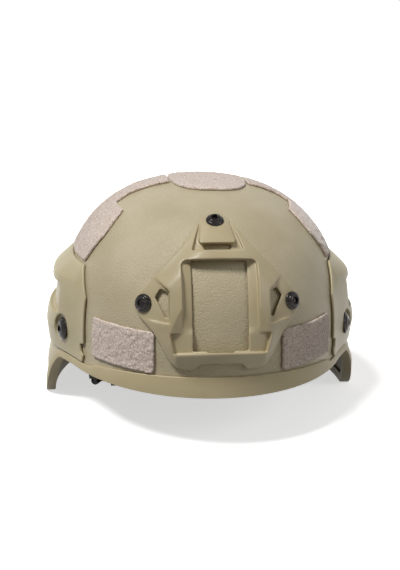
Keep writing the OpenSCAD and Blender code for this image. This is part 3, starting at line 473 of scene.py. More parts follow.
def coat_material(name, dark, mid, light, grain, depth, roughness):
    """Tan paint or plastic: faint patches of colour over a pebbled face."""
    material, shader = new_material(name, mid, roughness)
    tint(shader, noise_of(shader, 45 * MM, 2), (0.32, dark), (0.5, mid), (0.68, light))
    pebble = noise_of(shader, grain, 2, 0.5)
    low = bump(shader, pebble, depth, 0.9)
    bump(shader, noise_of(shader, grain / 3.2, 2, 0.5), depth / 3, 0.8, low)
    vary_gloss(shader, pebble, roughness, 0.08, 0.1)
    return material


def loop_material():
    """Loop pile: a pink tan fuzz, with painted shade in darker specks for the gaps between the loops."""
    material, shader = new_material("loop_fabric", (203, 186, 173), 1, Sheen_Weight=0.5, Sheen_Roughness=0.5,
                                    Specular_IOR_Level=0.15)
    speck = noise_of(shader, 1.1 * MM, 3, 0.7)
    # The darker stops are painted shade for the gaps between the loops
    tint(shader, speck, (0.3, (136, 115, 100)), (0.44, (198, 178, 164)), (0.56, (220, 205, 194)),
         (0.75, (242, 234, 226)))
    bump(shader, speck, 0.5 * MM, 0.25)
    return material


def steel_material(name, colour, roughness):
    """Blackened or plated steel with fine scratches and a worn sheen."""
    material, shader = new_material(name, colour, roughness, Metallic=1)
    scratch = noise_of(shader, 1.6 * MM, 4, 0.65)
    vary_gloss(shader, scratch, roughness, 0.1, 0.2)
    tint(shader, scratch, (0.35, colour), (0.8, lighter(colour, 1.5, 8)))
    bump(shader, scratch, 0.05 * MM, 0.4)
    return material


def plastic_material(name, colour, roughness, grain=0.7 * MM):
    material, shader = new_material(name, colour, roughness)
    spots = noise_of(shader, grain)
    vary_gloss(shader, spots, roughness, 0.08, 0.1)
    tint(shader, spots, (0.35, colour), (0.75, lighter(colour, 1.35, 5)))
    bump(shader, spots, 0.12 * MM, 0.5)
    return material


def woven_material(name, dark, light, pitch):
    """Cloth or webbing: two crossed sets of yarn, with painted shade that makes the gaps darker."""
    material, shader = new_material(name, light, 0.85, Sheen_Weight=0.2)
    tree = shader.id_data
    where = node(tree, "ShaderNodeTexCoord").outputs["Object"]
    waves = []
    for direction in ("X", "Y", "Z"):
        wave = node(tree, "ShaderNodeTexWave", wave_type="BANDS", bands_direction=direction,
                    Scale=0.314 / pitch, Distortion=0.6, Detail=1)
        link(where, wave, "Vector")
        waves.append(wave.outputs["Fac"])
    yarn = range_of(math_of("ADD", math_of("MULTIPLY", *waves[:2]), waves[2]), 0, 1, 1.6)
    # The dark stop is painted shade in the gaps between the yarns
    tint(shader, yarn, (0.1, dark), (0.7, light))
    bump(shader, yarn, 0.35 * MM, 0.8)
    return material


SHELL_COAT = coat_material("shell_coat", (169, 157, 126), (176, 164, 134), (182, 171, 142),
                           1.2 * MM, 0.65 * MM, 0.42)
TRIM_RUBBER = coat_material("trim_rubber", (166, 152, 117), (173, 159, 124), (179, 166, 132),
                            1.3 * MM, 0.15 * MM, 0.5)
# The mount's tan is set a little darker than its own colour, as painted shade for its front faces
MOUNT_COAT = coat_material("mount_polymer", (162, 148, 114), (169, 155, 121), (175, 162, 130),
                           1.0 * MM, 0.08 * MM, 0.4)
RAIL_COAT = coat_material("rail_polymer", (165, 153, 117), (172, 160, 125), (179, 167, 134),
                          1.1 * MM, 0.1 * MM, 0.42)
LOOP_FABRIC = loop_material()
BLACK_STEEL = steel_material("black_steel", (36, 34, 33), 0.22)
GREY_STEEL = steel_material("grey_steel", (120, 118, 114), 0.35)
BLACK_POLYMER = plastic_material("black_polymer", (24, 23, 22), 0.45)
HOOK_FABRIC = plastic_material("hook_fabric", (22, 21, 20), 0.9, 0.9 * MM)
PAD_FABRIC = woven_material("pad_fabric", (20, 18, 16), (44, 40, 36), 0.5 * MM)
LINING_FABRIC = woven_material("lining_fabric", (38, 25, 18), (66, 46, 34), 0.5 * MM)
WEBBING = woven_material("webbing", (86, 72, 50), (139, 121, 92), 0.8 * MM)


# Shell and edge trim

ROD_REACH = 10 * MM
# Angle from the crown where the rows turn from even angles to even heights
CAP_ANGLE = 78
TRIM_ROUND = 0.75 * MM


def mount_bolt_axes():
    return [(over_skin(x, q), normal_of(over_skin, x, q, MM, MM)) for x, q in np.array(BOLT_SPOTS) * MM]


def rail_bolt_axes(side):
    return [(flipped(skin(t, z), side), flipped(normal_of(skin, t, z, 0.5, 0.5 * MM), side))
            for t, z in (RAIL_BOLT_FRONT, RAIL_BOLT_REAR)]


def both_rails_axes():
    return rail_bolt_axes(1) + rail_bolt_axes(-1)


def turned(axis):
    """Matrix that takes rows of points round Z to the same round an axis."""
    return np.array(Vector(axis).to_track_quat("Z", "Y").to_matrix()).T


def lathe(rings, count, axes, seat=0, dip=0):
    """Points and faces of a turned part on each axis, from rings (radius, height, how six-sided it is)."""
    turn = np.arange(count) * 2 * math.pi / count
    six_sided = math.cos(math.pi / 6) / np.cos(turn % (math.pi / 3) - math.pi / 6)
    r, z, six = np.array(rings).T[:, :, None]
    reach = r * mix(1, six_sided, six)
    rows = np.stack((reach * np.cos(turn), reach * np.sin(turn), z + 0 * turn), -1)
    ends = [[0, 0, rings[0][1] - dip], [0, 0, rings[-1][1]]]
    local = np.vstack((rows.reshape(-1, 3), ends)) + np.array([0, 0, seat])
    one = capped_faces(len(rings), count)
    faces = [[i * len(local) + corner for corner in face[::-1]] for i in range(len(axes)) for face in one]
    return [place + local @ turned(axis) for place, axis in axes], faces


def shell_rows(off, turns):
    """Rows of points from the crown down to the edge."""
    levels = [dome_z(angle, off) for angle in np.linspace(1.5, CAP_ANGLE, 40)]
    levels += np.linspace(dome_z(CAP_ANGLE, off), WIDEST_Z, 14)[1:].tolist()
    rows = [skin(turns, z, off) for z in levels]
    rows += [skin(turns, mix(WIDEST_Z, rim_z(turns), k), off) for k in np.linspace(0, 1, 27)[1:]]
    return rows


def build_shell():
    turns = np.arange(-180, 180, 1.25)
    rows = np.array(shell_rows(0, turns) + shell_rows(-SHELL_T, turns)[::-1])
    points = np.vstack((rows.reshape(-1, 3), roof(0.0, 0.0, 0), roof(0.0, 0.0, -SHELL_T)))
    obj = mesh_object("helmet_shell", points, capped_faces(*rows.shape[:2]))
    rods = lathe([(HOLE_R, ROD_REACH, 0), (HOLE_R, -ROD_REACH, 0)], 24, mount_bolt_axes() + both_rails_axes())
    cutter = mesh_object("rods", *rods)
    modify(obj, "BOOLEAN", object=cutter, solver="EXACT")
    settle(obj)
    bpy.data.objects.remove(cutter)
    dress(obj, SHELL_COAT, "shell", sharp=50)


def rounded(corners, radius, count=4):
    """Swaps each corner of a closed outline for a short arc. Each corner may be an array along a sweep."""
    made = []
    for i, here in enumerate(corners):
        ways = (corners[i - 1] - here, corners[(i + 1) % len(corners)] - here)
        start, end = [here + unit(way) * np.minimum(radius, 0.45 * length_of(way)) for way in ways]
        for k in np.linspace(0, 1, count):
            made.append((1 - k) ** 2 * start + 2 * k * (1 - k) * here + k * k * end)
    return made


def build_trim():
    turns = np.concatenate((np.arange(-180, -95, 1.5), np.arange(-95, -60, 0.5), np.arange(-60, 60, 1),
                            np.arange(60, 95, 0.5), np.arange(95, 180, 1.5)))
    out, low = TRIM_GAP + TRIM_T, -TRIM_GAP - TRIM_T
    inner = -SHELL_T - out
    leg = trim_leg(turns)
    outline = ((-SHELL_T - TRIM_GAP, TRIM_INNER_H), (-SHELL_T - TRIM_GAP, -TRIM_GAP), (TRIM_GAP, -TRIM_GAP),
               (TRIM_GAP, leg), (out, leg), (out, low), (inner, low), (inner, TRIM_INNER_H))
    corners = [np.stack(np.broadcast_arrays(off, d, leg)[:2], -1) for off, d in outline]
    rows = [trim_point(turns, *spots.T) for spots in rounded(corners, TRIM_ROUND)]
    piece("edge_trim_rubber", rows, ring_faces(len(rows), len(turns))[:, ::-1], TRIM_RUBBER, "edge_trim",
          sharp=35)


# Brow mount, as the face of a field over its own plane and the height above the shell

FIELD_REACH = 3 * MM
# Outlines on the mount's plane, in mm: half widths at heights, boxes (left, right, low, high) and corners
MOUNT_OUTLINE = (
    (-50.3, 23.5), (-48.7, 30.5), (-45, 34.8), (-41, 37.5), (-33, 41.5), (-23, 46.8), (-11, 56.5), (-5, 59.4),
    (-0.5, 60), (3, 59.2), (7, 56), (16.5, 46.5), (27.5, 36), (38.5, 25.5), (48, 18.5), (58, 11.8), (62.5, 8),
    (65, 5), (66, 2.5),
)
MOUNT_WINDOW = (-19.8, 19.8, -37, 27)
SILL_NOTCH = (-9.5, 9.5, -38.4, -30)
LEDGE_BOX = (-27, 27, -38.5, 23.4)
LEDGE_HEAD = (-23, 23, 18, 27.4)
LEDGE_CORNER_R = 4
LEDGE_FOOT = ((26, -24.6), (36, -24.6), (33, -38.5), (26, -38.5))
WING = ((51.3, 22.8), (35.8, 5.1), (35.8, -17.5), (40, -16.8), (52, -13), (64, -11.5), (64, 22.8))
POCKET = ((45.4, 2.2), (41.5, 8), (36.4, 4.6), (36.4, -11.5), (38, -13.3))
TONGUE_RECESS = ((-18.8, 34.6), (18.8, 34.6), (11.2, 57.5), (-11.2, 57.5))
TONGUE = ((-12.4, 39.9), (12.4, 39.9), (13.2, 42.5), (10.2, 58), (-10.2, 58), (-13.2, 42.5))
TONGUE_SLOT = (-9.5, 9.5, 35.4, 39.4)
ARCH = ((-14.5, -46.2), (14.5, -46.2), (20.5, -52), (-20.5, -52))
# The lower bar's face is bevelled from a thin edge at its foot
BAR_LOW = -50.3 * MM
BAR_BEVEL_H = 10 * MM
BAR_EDGE_T = 3 * MM
# The ledges slope down towards the window
LEDGE_IN_T = 2.2 * MM
LEDGE_OUT_T = 4.9 * MM
WING_T = 4 * MM
# The tongue is flat and a little lower than the frame
TONGUE_T = 6.8 * MM
# Facets at the foot of the frame's sides
FACET_TOP = (30.2 * MM, -12.5 * MM)
FACET_FOOT = (36 * MM, -24.6 * MM)
FACET_IN = 26.5 * MM
FACET_SLOPE = 0.52


def in_outline(x, q, corners):
    """Signed distance to an outline in mm."""
    return polygon_distance(x, q, [(a * MM, b * MM) for a, b in corners])


def in_box(x, q, box):
    left, right, low, high = box
    return in_outline(x, q, ((left, low), (right, low), (right, high), (left, high)))


def cylinder_distance(points, place, axis, radius, floor):
    """Signed distance to a rod that starts at a height along its axis and goes on outwards."""
    away = points - place
    along = away @ axis
    out = np.linalg.norm(away - along[..., None] * axis, axis=-1)
    return np.maximum(out - radius, floor - along)


def bored(field, places, axes, recess_r, seat, passes):
    """Cuts the bolt heads' recesses into a field, rounds all edges, and cuts the bolts' holes."""
    for place, axis in axes:
        field = np.maximum(field, -cylinder_distance(places, place, axis, recess_r, seat))
    field = blurred(np.clip(field, -FIELD_REACH, FIELD_REACH), passes)
    for place, axis in axes:
        field = np.maximum(field, -cylinder_distance(places, place, axis, HOLE_R, -ROD_REACH))
    return field


def mount_body(x, q, h):
    """The plate without its cuts, crowned towards the middle and bevelled at the lower bar."""
    levels, halves = np.array(MOUNT_OUTLINE).T * MM
    reach = mix(7 * MM, 20 * MM, smooth((q / MM + 36) / 26))
    thick = mix(MOUNT_EDGE_T, MOUNT_T, smooth((np.interp(q, levels, halves) - np.abs(x)) / reach))
    bevel = mix(BAR_EDGE_T, MOUNT_T, np.clip((q - BAR_LOW) / BAR_BEVEL_H, 0, 1))
    right = [(half, level_q) for level_q, half in MOUNT_OUTLINE]
    left = [(-half, level_q) for half, level_q in right[::-1]]
    outline = in_outline(x[:, :, :1], q[:, :, :1], right + left)
    return np.maximum(np.maximum(h - np.minimum(thick, bevel), WIDE_SEAT_GAP - h), outline)


def shoulder_cut(x, q, h):
    """Sunk ledges beside the window, which slope towards it, and sunk wings."""
    across = np.abs(x)
    ledge = np.minimum(in_box(x, q, LEDGE_BOX), in_box(x, q, LEDGE_HEAD))
    corner = np.hypot(across - LEDGE_HEAD[1] * MM, q - LEDGE_BOX[3] * MM) - LEDGE_CORNER_R * MM
    ledge = np.minimum(np.minimum(ledge, corner), in_outline(across, q, LEDGE_FOOT))
    slope = np.clip((across / MM - MOUNT_WINDOW[1]) / (LEDGE_BOX[1] - MOUNT_WINDOW[1]), 0, 1)
    floor = mix(LEDGE_T, mix(LEDGE_IN_T, LEDGE_OUT_T, slope), smooth((q / MM + 26) / 6))
    return np.minimum(np.maximum(ledge, floor - h), np.maximum(in_outline(across, q, WING), WING_T - h))


def mount_field(x, q, h):
    """Negative inside the mount."""
    body = mount_body(x, q, h)
    x, q = x[:, :, :1], q[:, :, :1]
    window = np.minimum(in_box(x, q, MOUNT_WINDOW), in_box(x, q, SILL_NOTCH))
    tongue = in_outline(x, q, TONGUE)
    recess = np.maximum(in_outline(x, q, TONGUE_RECESS), -tongue)
    pocket = in_outline(np.abs(x), q, POCKET)
    for cut in (shoulder_cut(x, q, h), pocket, window, np.maximum(recess, TAB_FLOOR_T - h),
                np.maximum(tongue, TONGUE_T - h), in_box(x, q, TONGUE_SLOT), in_outline(x, q, ARCH),
                facet_cut(x, q, h)):
        body = np.maximum(body, -cut)
    return body


def facet_cut(x, q, h):
    """A sloped triangle at the foot of each side of the frame, from its face down to the ledge's level."""
    (top_x, top_q), (foot_x, foot_q) = FACET_TOP, FACET_FOOT
    length = math.hypot(foot_x - top_x, foot_q - top_q)
    away = ((foot_q - top_q) * (np.abs(x) - top_x) - (foot_x - top_x) * (q - top_q)) / length
    corners = [(FACET_IN, top_q + 6 * MM), FACET_TOP, FACET_FOOT, (FACET_IN, foot_q)]
    plane = (MOUNT_T - 0.4 * MM - away * FACET_SLOPE - h) / math.hypot(1, FACET_SLOPE)
    return np.maximum(polygon_distance(np.abs(x), q, corners), plane)


def build_mount():
    axes = axes_of((-63, 63.1, 0.5), (-54, 69.1, 0.5), (-1.5, 12.1, 0.5))
    x, q, h = np.meshgrid(*axes, indexing="ij")
    places = over_skin(x[:, :, :1], q[:, :, :1], h)
    field = bored(mount_field(x, q, h), places, mount_bolt_axes(), MOUNT_RECESS_R, MOUNT_SEAT, 3)
    points, faces = surface_of(field, axes)
    piece("brow_mount_plate", over_skin(*points.T), faces, MOUNT_COAT, "brow_mount")


# Rails, as the face of a field over the angle, the height and the stand-off

# Share of the height, how far it stands out, how deep the channel is, and the inner side's share
RAIL_SECTION = (
    (0, 0, 0, 0), (0.12, 0.45, 0, 0.1), (0.24, 0.88, 0, 0.2), (0.33, 1, 0, 0.3), (0.42, 1, 0, 0.4),
    (0.43, 1, 1, 0.48), (0.73, 1, 1, 0.6), (0.74, 1, 0, 0.7), (0.82, 1, 0, 0.8), (0.9, 0.55, 0, 0.9),
    (1, 0, 0, 1),
)
CHANNEL_UNDERCUT = 0.03
# Length of a degree of turn along a rail, roughly
DEGREE_L = 2 * MM
# Angles and heights round the small notch in a rail's front edge
RAIL_NOTCH = ((50, 62), (54.9, 60.5), (54.3, 55.4), (53.4, 53.6), (50, 53.6))


def rail_outline(t):
    """The rail's section at an angle, as heights and stand-offs."""
    swell = smooth((t - RAIL_FROM) / 27) * (1 - 0.8 * smooth((t - 118) / 17))
    groove = smooth((t - 70) / 5) * (1 - smooth((t - 110) / 5))
    tail = smooth((t - 105) / 30)
    seam = 22 * MM * (1 - np.clip((t - RAIL_FROM) / 8, 0, 1))
    low, high = RAIL_LOW_Z + 12 * MM * tail, RAIL_HIGH_Z - seam - 22 * MM * tail
    outer = []
    for share, stand, channel, _ in RAIL_SECTION:
        deep = channel * groove
        under = deep * (-CHANNEL_UNDERCUT if share < 0.5 else CHANNEL_UNDERCUT)
        face = mix(RAIL_EDGE_T, RAIL_T, stand * swell)
        outer.append((mix(low, high, share + under), face - deep * CHANNEL_D))
    inner = [(mix(low, high, row[3]), WIDE_SEAT_GAP) for row in RAIL_SECTION]
    return [(float(a), float(b)) for a, b in outer + inner[::-1]]


def build_rails():
    turns = np.arange(50.5, 136.6, 0.25)
    levels, offs = axes_of((44.4, 122.1, 0.6), (-1.2, 14.1, 0.6))
    z, off = np.meshgrid(levels, offs, indexing="ij")
    field = np.array([polygon_distance(z, off, rail_outline(np.clip(t, RAIL_FROM, RAIL_TO))) for t in turns])
    ends = np.maximum(RAIL_FROM - turns, turns - RAIL_TO) * DEGREE_L
    along, height = np.meshgrid(turns * DEGREE_L, levels, indexing="ij")
    notch = polygon_distance(along, height, [(turn * DEGREE_L, z_mm * MM) for turn, z_mm in RAIL_NOTCH])
    field = np.maximum(np.maximum(field, ends[:, None, None]), -notch[:, :, None])
    places = skin(*np.meshgrid(turns, levels, offs, indexing="ij"))
    field = bored(field, places, rail_bolt_axes(1), RAIL_RECESS_R, RAIL_FLOOR_T, 2)
    points, faces = surface_of(field, (turns, levels, offs))
    points = skin(*points.T)
    piece("accessory_rail_left", points, faces, RAIL_COAT, "rail_left")
    piece("accessory_rail_right", flipped(points, -1), faces[:, ::-1], RAIL_COAT, "rail_right")


# Domed bolts with a flange, a groove and a six-sided socket

THREAD_L = 8 * MM
THREAD_STEP = 0.4 * MM
THREAD_DEEP = 0.25 * MM
SOCKET_DIP = 0.3 * MM


def bolt_rows(radius, length):
    """Radius, height over the seat and how six-sided each ring of a bolt is, from its socket to its end."""
    groove_r = SOCKET_R + 0.85 * MM
    rows = [(0.6 * SOCKET_R, 0.36, 1), (SOCKET_R, 0.42, 1), (SOCKET_R, 0.93, 1),
            (SOCKET_R + 0.25 * MM, 1, 0.6), (SOCKET_R + 0.6 * MM, 1, 0), (groove_r, 0.9, 0)]
    rows += [(mix(groove_r, 0.74 * radius, k), 0.9 - 0.28 * k * k, 0) for k in np.linspace(0.25, 1, 4)]
    flange = ((0.76, 0.5), (0.79, 0.47), (0.82, 0.5), (0.9, 0.4), (0.97, 0.25), (1, 0.15), (1, 0.04),
              (0.98, 0))
    rows += [(radius * share, height, 0) for share, height in flange]
    rows = [(r, height * HEAD_H, six) for r, height, six in rows]
    thread_from = THREAD_L - length
    rows += [(SHANK_R, 0, 0), (SHANK_R, thread_from, 0)]
    rows += [(SHANK_R - (k % 2) * THREAD_DEEP, thread_from - k * THREAD_STEP, 0)
             for k in range(1, int(THREAD_L / THREAD_STEP))]
    return rows + [(SHANK_R - 2 * THREAD_DEEP, -length, 0)]


def build_bolts():
    below = NUT_T + SHANK_END - NUT_FACE
    for name, axes, radius, seat, under in (
            ("mount", mount_bolt_axes(), MOUNT_HEAD_R, MOUNT_SEAT, below),
            ("rail", both_rails_axes(), RAIL_HEAD_R, RAIL_FLOOR_T, below + ANCHOR_T + ANCHOR_NUT_GAP)):
        points, faces = lathe(bolt_rows(radius - HEAD_INSET, seat + under), 48, axes, seat, SOCKET_DIP)
        piece(name + "_button_bolts", points, faces, BLACK_STEEL, name + "_bolts", sharp=35)


# Loop patches: a fuzzy pile whose edges are a little ragged

# Angle, half length, lowest and highest point, in mm
FRONT_PATCH = (33.3, 30.8, 54.9, 87)
REAR_PATCH = (180, 60, 66, 108)
TOP_X, TOP_Y = 31.5 * MM, 53 * MM
TOP_MID_X, TOP_MID_Y = 5 * MM, 10 * MM
TOP_POWER = 2.6
# Share of the dome's height, front edge and rear edge of each row of a side patch
SIDE_ROWS = (
    ((RAIL_HIGH_Z + 1 * MM - WIDEST_Z) / DOME_H, -52, 71), (0.56, -53, 71), (0.63, -54.5, 70),
    (0.69, -54.5, 69), (0.75, -51.5, 67), (0.8, -46.5, 64), (0.842, -41, 60), (0.854, -15, 44),
)
# Distances from the middle of the rows of its neck, and the neck's front and rear edges
NECK_X = (59, 50, 41, 30.9)
NECK_Y = (-11, 36)


def fuzzy_pile(node_name, axes, outline, place, seed):
    """A pile over a plane of two lengths, bent onto the shell by place(a, b, height)."""
    a, b, h = np.meshgrid(*axes, indexing="ij")
    random = np.random.default_rng(seed)
    tufts = blurred(random.standard_normal(a.shape), 1)
    clumps = blurred(random.standard_normal(a.shape), 6)
    fuzz = tufts / tufts.std() * 0.14 * MM + clumps / clumps.std() * 0.1 * MM
    top = SEAT_GAP + PATCH_T - 0.3 * MM
    edge = outline(a[:, :, :1], b[:, :, :1]) + 0.7 * MM
    field = np.maximum(h - top, edge + np.maximum(0, h - 1.2 * MM) * 0.5) + fuzz
    points, faces = surface_of(np.clip(np.maximum(field, SEAT_GAP - h), -2 * MM, 2 * MM), axes)
    obj = piece("loop_" + node_name, place(*points.T), faces, LOOP_FABRIC, node_name)


def rectangle_patch(node_name, turn, half_l, z_low, z_high, seed, side=1, step=0.6):
    axes = axes_of((-half_l - 1.5, half_l + 1.6, step), (z_low - 1.5, z_high + 1.6, step), (-0.6, 3.7, 0.6))
    half_h, mid_z = (z_high - z_low) / 2 * MM, (z_high + z_low) / 2 * MM

    def outline(length, z):
        dx = np.abs(length) - half_l * MM + PATCH_R
        dz = np.abs(z - mid_z) - half_h + PATCH_R
        return np.hypot(np.maximum(dx, 0), np.maximum(dz, 0)) + np.minimum(np.maximum(dx, dz), 0) - PATCH_R

    def place(length, z, h):
        return flipped(skin(turn + np.degrees(length / plan_r(turn, 0)), z, h), side)

    fuzzy_pile(node_name, axes, outline, place, seed)


def top_patch():
    x_axis, y_axis, h_axis = axes_of((-36, 36.1, 0.8), (-45, 65.1, 0.8), (-0.8, 3.9, 0.6))

    def outline(x, y):
        x, y = x - TOP_MID_X, y - TOP_MID_Y
        share = (np.abs(x / TOP_X) ** TOP_POWER + np.abs(y / TOP_Y) ** TOP_POWER) ** (1 / TOP_POWER)
        return (share - 1) * np.hypot(x, y) / np.maximum(share, 0.2)

    axes = (x_axis + TOP_MID_X, y_axis, h_axis)
    fuzzy_pile("patch_top", axes, outline, roof, 11)


def side_row(index, y, neck):
    """Points of one row of a side patch, on the shell's face."""
    if index < len(SIDE_ROWS):
        z = WIDEST_Z + SIDE_ROWS[index][0] * DOME_H
        length = np.where(y < 0, FRONT_L, REAR_L)
        x = HALF_W * np.sqrt(np.maximum(0, waist(z, 0) ** 2 - (y / length) ** 2))
        return np.stack((x, y, np.full_like(y, z)), -1)
    return roof(neck[index - len(SIDE_ROWS)], y, 0)


def side_patch(node_name, side, seed):
    count = len(SIDE_ROWS) + len(NECK_X)
    neck = [x * MM for x in NECK_X]
    neck[-1] += side * TOP_MID_X
    middle = np.array([side_row(i, np.array([TOP_MID_Y]), neck)[0] for i in range(count)])
    along = lengths_along(middle)
    limits = [row[1:] for row in SIDE_ROWS] + [NECK_Y] * len(NECK_X)
    corners = [(s, low * MM) for s, (low, _) in zip(along, limits)]
    corners += [(s, high * MM) for s, (_, high) in list(zip(along, limits))[::-1]]
    axes = (np.arange(-2 * MM, along[-1] + 2 * MM, 0.8 * MM), *axes_of((-57, 75.1, 0.8), (-0.8, 3.9, 0.6)))

    def outline(s, y):
        return polygon_distance(*np.broadcast_arrays(s, y), corners)

    def place(s, y, h):
        index = np.clip(np.searchsorted(along, s) - 1, 0, count - 2)
        share = (s - along[index]) / (along[index + 1] - along[index])
        rows = np.array([side_row(i, y, neck) for i in range(count)])
        pick = np.arange(len(s))
        away = mix(rows[index, pick], rows[index + 1, pick], share[:, None]) - CENTRE
        for _ in range(4):
            away = away * level(away + CENTRE, h)[:, None] ** (-1 / DOME_EXP)
        return flipped(away + CENTRE, side)

    fuzzy_pile(node_name, axes, outline, place, seed)


def build_patches():
    top_patch()
    side_patch("patch_side_left", 1, 21)
    side_patch("patch_side_right", -1, 22)
    rectangle_patch("patch_front_left", *FRONT_PATCH, 31)
    rectangle_patch("patch_front_right", *FRONT_PATCH, 32, side=-1)
    rectangle_patch("patch_rear", *REAR_PATCH, 33, step=0.8)


# Webbing: a ribbed strip along a path, with rounded edges

RIB_PITCH = 1.35 * MM
RIB_DEEP = 0.2 * MM
RIB_ZIGZAG = 3.2 * MM
WEB_STEP = 0.45 * MM
ANCHOR_LOOP_R = ANCHOR_BAR_R + RUN_GAP + WEB_T / 2
RING_LOOP_R = RING_BAR_R + RUN_GAP + WEB_T / 2


def even_path(places, step):
    """A smooth path through some places, with the places' other values carried along."""
    places = np.asarray(places, float)
    padded = np.vstack((2 * places[0] - places[1], places, 2 * places[-1] - places[-2]))
    made = []
    for i in range(1, len(padded) - 2):
        p0, p1, p2, p3 = padded[i - 1:i + 3]
        for k in np.linspace(0, 1, 24, endpoint=False):
            bend = 2 * p0 - 5 * p1 + 4 * p2 - p3 + k * (3 * (p1 - p2) + p3 - p0)
            made.append(p1 + 0.5 * k * (p2 - p0 + k * bend))
    made = np.array(made + [padded[-2]])
    along = lengths_along(made[:, :3])
    spots = np.linspace(0, along[-1], max(8, int(along[-1] / step)))
    return picked(spots, along, made), spots


def webbing(node_name, places, across, body, side):
    """A strip along places (x, y, z, half width), whose width runs along across."""
    path, along = even_path(places, WEB_STEP)
    way = unit(np.gradient(path[:, :3], axis=0))
    across = np.broadcast_to(np.asarray(across, float), way.shape)
    normal = unit(np.cross(way, across))[:, None, :]
    columns = np.linspace(-1, 1, 41)
    reach = columns[None, :] * path[:, 3:4]
    zigzag = np.abs((reach / RIB_ZIGZAG) % 2 - 1)
    rib = 0.5 + 0.5 * np.cos(2 * math.pi * (along[:, None] / RIB_PITCH + zigzag))
    edge = columns ** 12
    thick = (WEB_T / 2 - 0.02 * MM) * np.sqrt(np.maximum(0.12, 1 - edge)) - RIB_DEEP * rib * (1 - edge)
    middle = path[:, None, :3] + reach[..., None] * across[:, None, :]
    upper, lower = middle + thick[..., None] * normal, middle - thick[..., None] * normal
    rows = np.concatenate((upper, lower[:, ::-1]), axis=1)
    count, cols = rows.shape[:2]
    faces = grid_faces(count, cols)[:, ::-1].tolist()
    last = (count - 1) * cols
    for k in range(cols // 2 - 1):
        faces.append([k, k + 1, cols - 2 - k, cols - 1 - k])
        faces.append([last + k + 1, last + k, last + cols - 1 - k, last + cols - 2 - k])
    if side < 0:
        faces = [face[::-1] for face in faces]
    points = flipped(rows.reshape(-1, 3), side)
    name = "webbing_" + node_name.replace("strap_", "")
    obj = piece(name, points, faces, WEBBING, node_name, body, 60)


def arc(middle, radius, start, end, half, count=9):
    """Places round a bar that lies along Y, from one angle over the X axis to another."""
    x, y, z = middle
    angles = np.linspace(start, end, count)
    return [(x + radius * cos_deg(a), y, z + radius * sin_deg(a), half) for a in angles]


def side_strap(node_name, bolt, layer, body, side):
    """A strap from an anchor's bar down to the ring's plate, in the lean of its body's rest place."""
    y_top = float(skin(*bolt, -SHELL_T)[1])
    y_low = RING_Y + (-1 if y_top < RING_Y else 1) * MM
    half, low_half = WEB_W / 2, WEB_W / 2 - STRAP_TAPER
    flat = layer * LAYER_STEP
    from_z = STRAP_END - STRAP_DROP
    places = []
    for z in np.linspace(from_z, -8 * MM, 5):
        share = (z - from_z) / (-2 * MM - from_z)
        places.append((flat, mix(y_low, y_top, share), z, mix(low_half, half, share)))
    places += arc((0, y_top, 0), ANCHOR_LOOP_R, -25, 205, half)
    places += [(flat * 0.5 - 0.2 * MM, y_top, -4.9 * MM, half), (flat, y_top, -7 * MM, half * 0.97)]
    c, s = math.cos(STRAP_LEAN), math.sin(STRAP_LEAN)
    world = [(ANCHOR_X + x * c + z * s, y, ANCHOR_Z - x * s + z * c, w) for x, y, z, w in places]
    webbing(node_name, world, (0, 1, 0), body, side)


def chin_strap(label, reach, side):
    half = WEB_W / 2
    places = [(RING_X - away, RING_Y, RING_Z, half) for away in np.linspace(reach, 7 * MM, 6)]
    places += arc((RING_X, RING_Y, RING_Z), RING_LOOP_R, 140, -140, half)
    places.append((RING_X - 4.4 * MM, RING_Y, RING_Z - 0.2 * MM, half))
    places.append((RING_X - 6 * MM, RING_Y, RING_Z, half * 0.97))
    webbing("chin_strap_" + label, places, (0, 1, 0), "chin_" + label, side)


def aimed(place, axis, v):
    """A point given in the frame of an axis that leans from the vertical."""
    lean = Matrix.Rotation(math.acos(axis[2]), 3, "Y")
    turn = Matrix.Rotation(math.atan2(axis[1], axis[0]), 3, "Z")
    return place + np.array(turn @ lean @ Vector(v))


def eased(route):
    """Places along straight runs, with each bend eased on its inner side."""
    route = np.array(route)
    spots = np.linspace(0, len(route) - 1, 8 * (len(route) - 1) + 1)
    places = picked(spots, np.arange(len(route)), route)
    for _ in range(10):
        places[1:-1] = (places[:-2] + 2 * places[1:-1] + places[2:]) / 4
    return places


def fit_strap(node_name, side):
    y = DIAL_Y - BAND_T / 2 - RUN_GAP - WEB_T / 2
    z = DIAL_Z - side * (PITCH_R + (BAND_H + TOOTH_ROOT) / 2)
    narrow = (BAND_H - TOOTH_ROOT) / 2
    bolt, axis = rail_bolt_axes(1)[1]
    edge = aimed(bolt, axis, (1 * MM, ANCHOR_PLATE_W / 2 + RUN_GAP, NUT_FACE - WEB_T))
    before = aimed(bolt, axis, (4 * MM, ANCHOR_PLATE_W / 2 + 9 * MM, NUT_FACE - 3 * WEB_T))
    bend_x = BAND_OUT + 1 * MM
    route = [
        (BAND_OUT - 8 * MM, y, z, narrow), (bend_x, y, z, narrow),
        (mix(bend_x, before[0], 0.45), y, mix(z, before[2], 0.2), mix(narrow, FIT_STRAP_HALF, 0.4)),
        (mix(bend_x, before[0], 0.8), y - 6 * MM, mix(z, before[2], 0.5), mix(narrow, FIT_STRAP_HALF, 0.7)),
        (*before, FIT_STRAP_HALF), (*edge, FIT_STRAP_HALF),
    ]
    webbing(node_name, eased(route), (0, 0, 1), "helmet", side)


def build_webbing():
    for label, side in (("left", 1), ("right", -1)):
        side_strap("strap_front_" + label, RAIL_BOLT_FRONT, 0, "side_straps_" + label, side)
        side_strap("strap_rear_" + label, RAIL_BOLT_REAR, 1, "side_straps_" + label, side)
        fit_strap("fit_strap_" + label, side)
    chin_strap("left", CHIN_LEFT_REACH, 1)
    chin_strap("right", CHIN_RIGHT_REACH, -1)


# Foam pads: copies of the CAD pads that swell as cloth, each with a piped seam

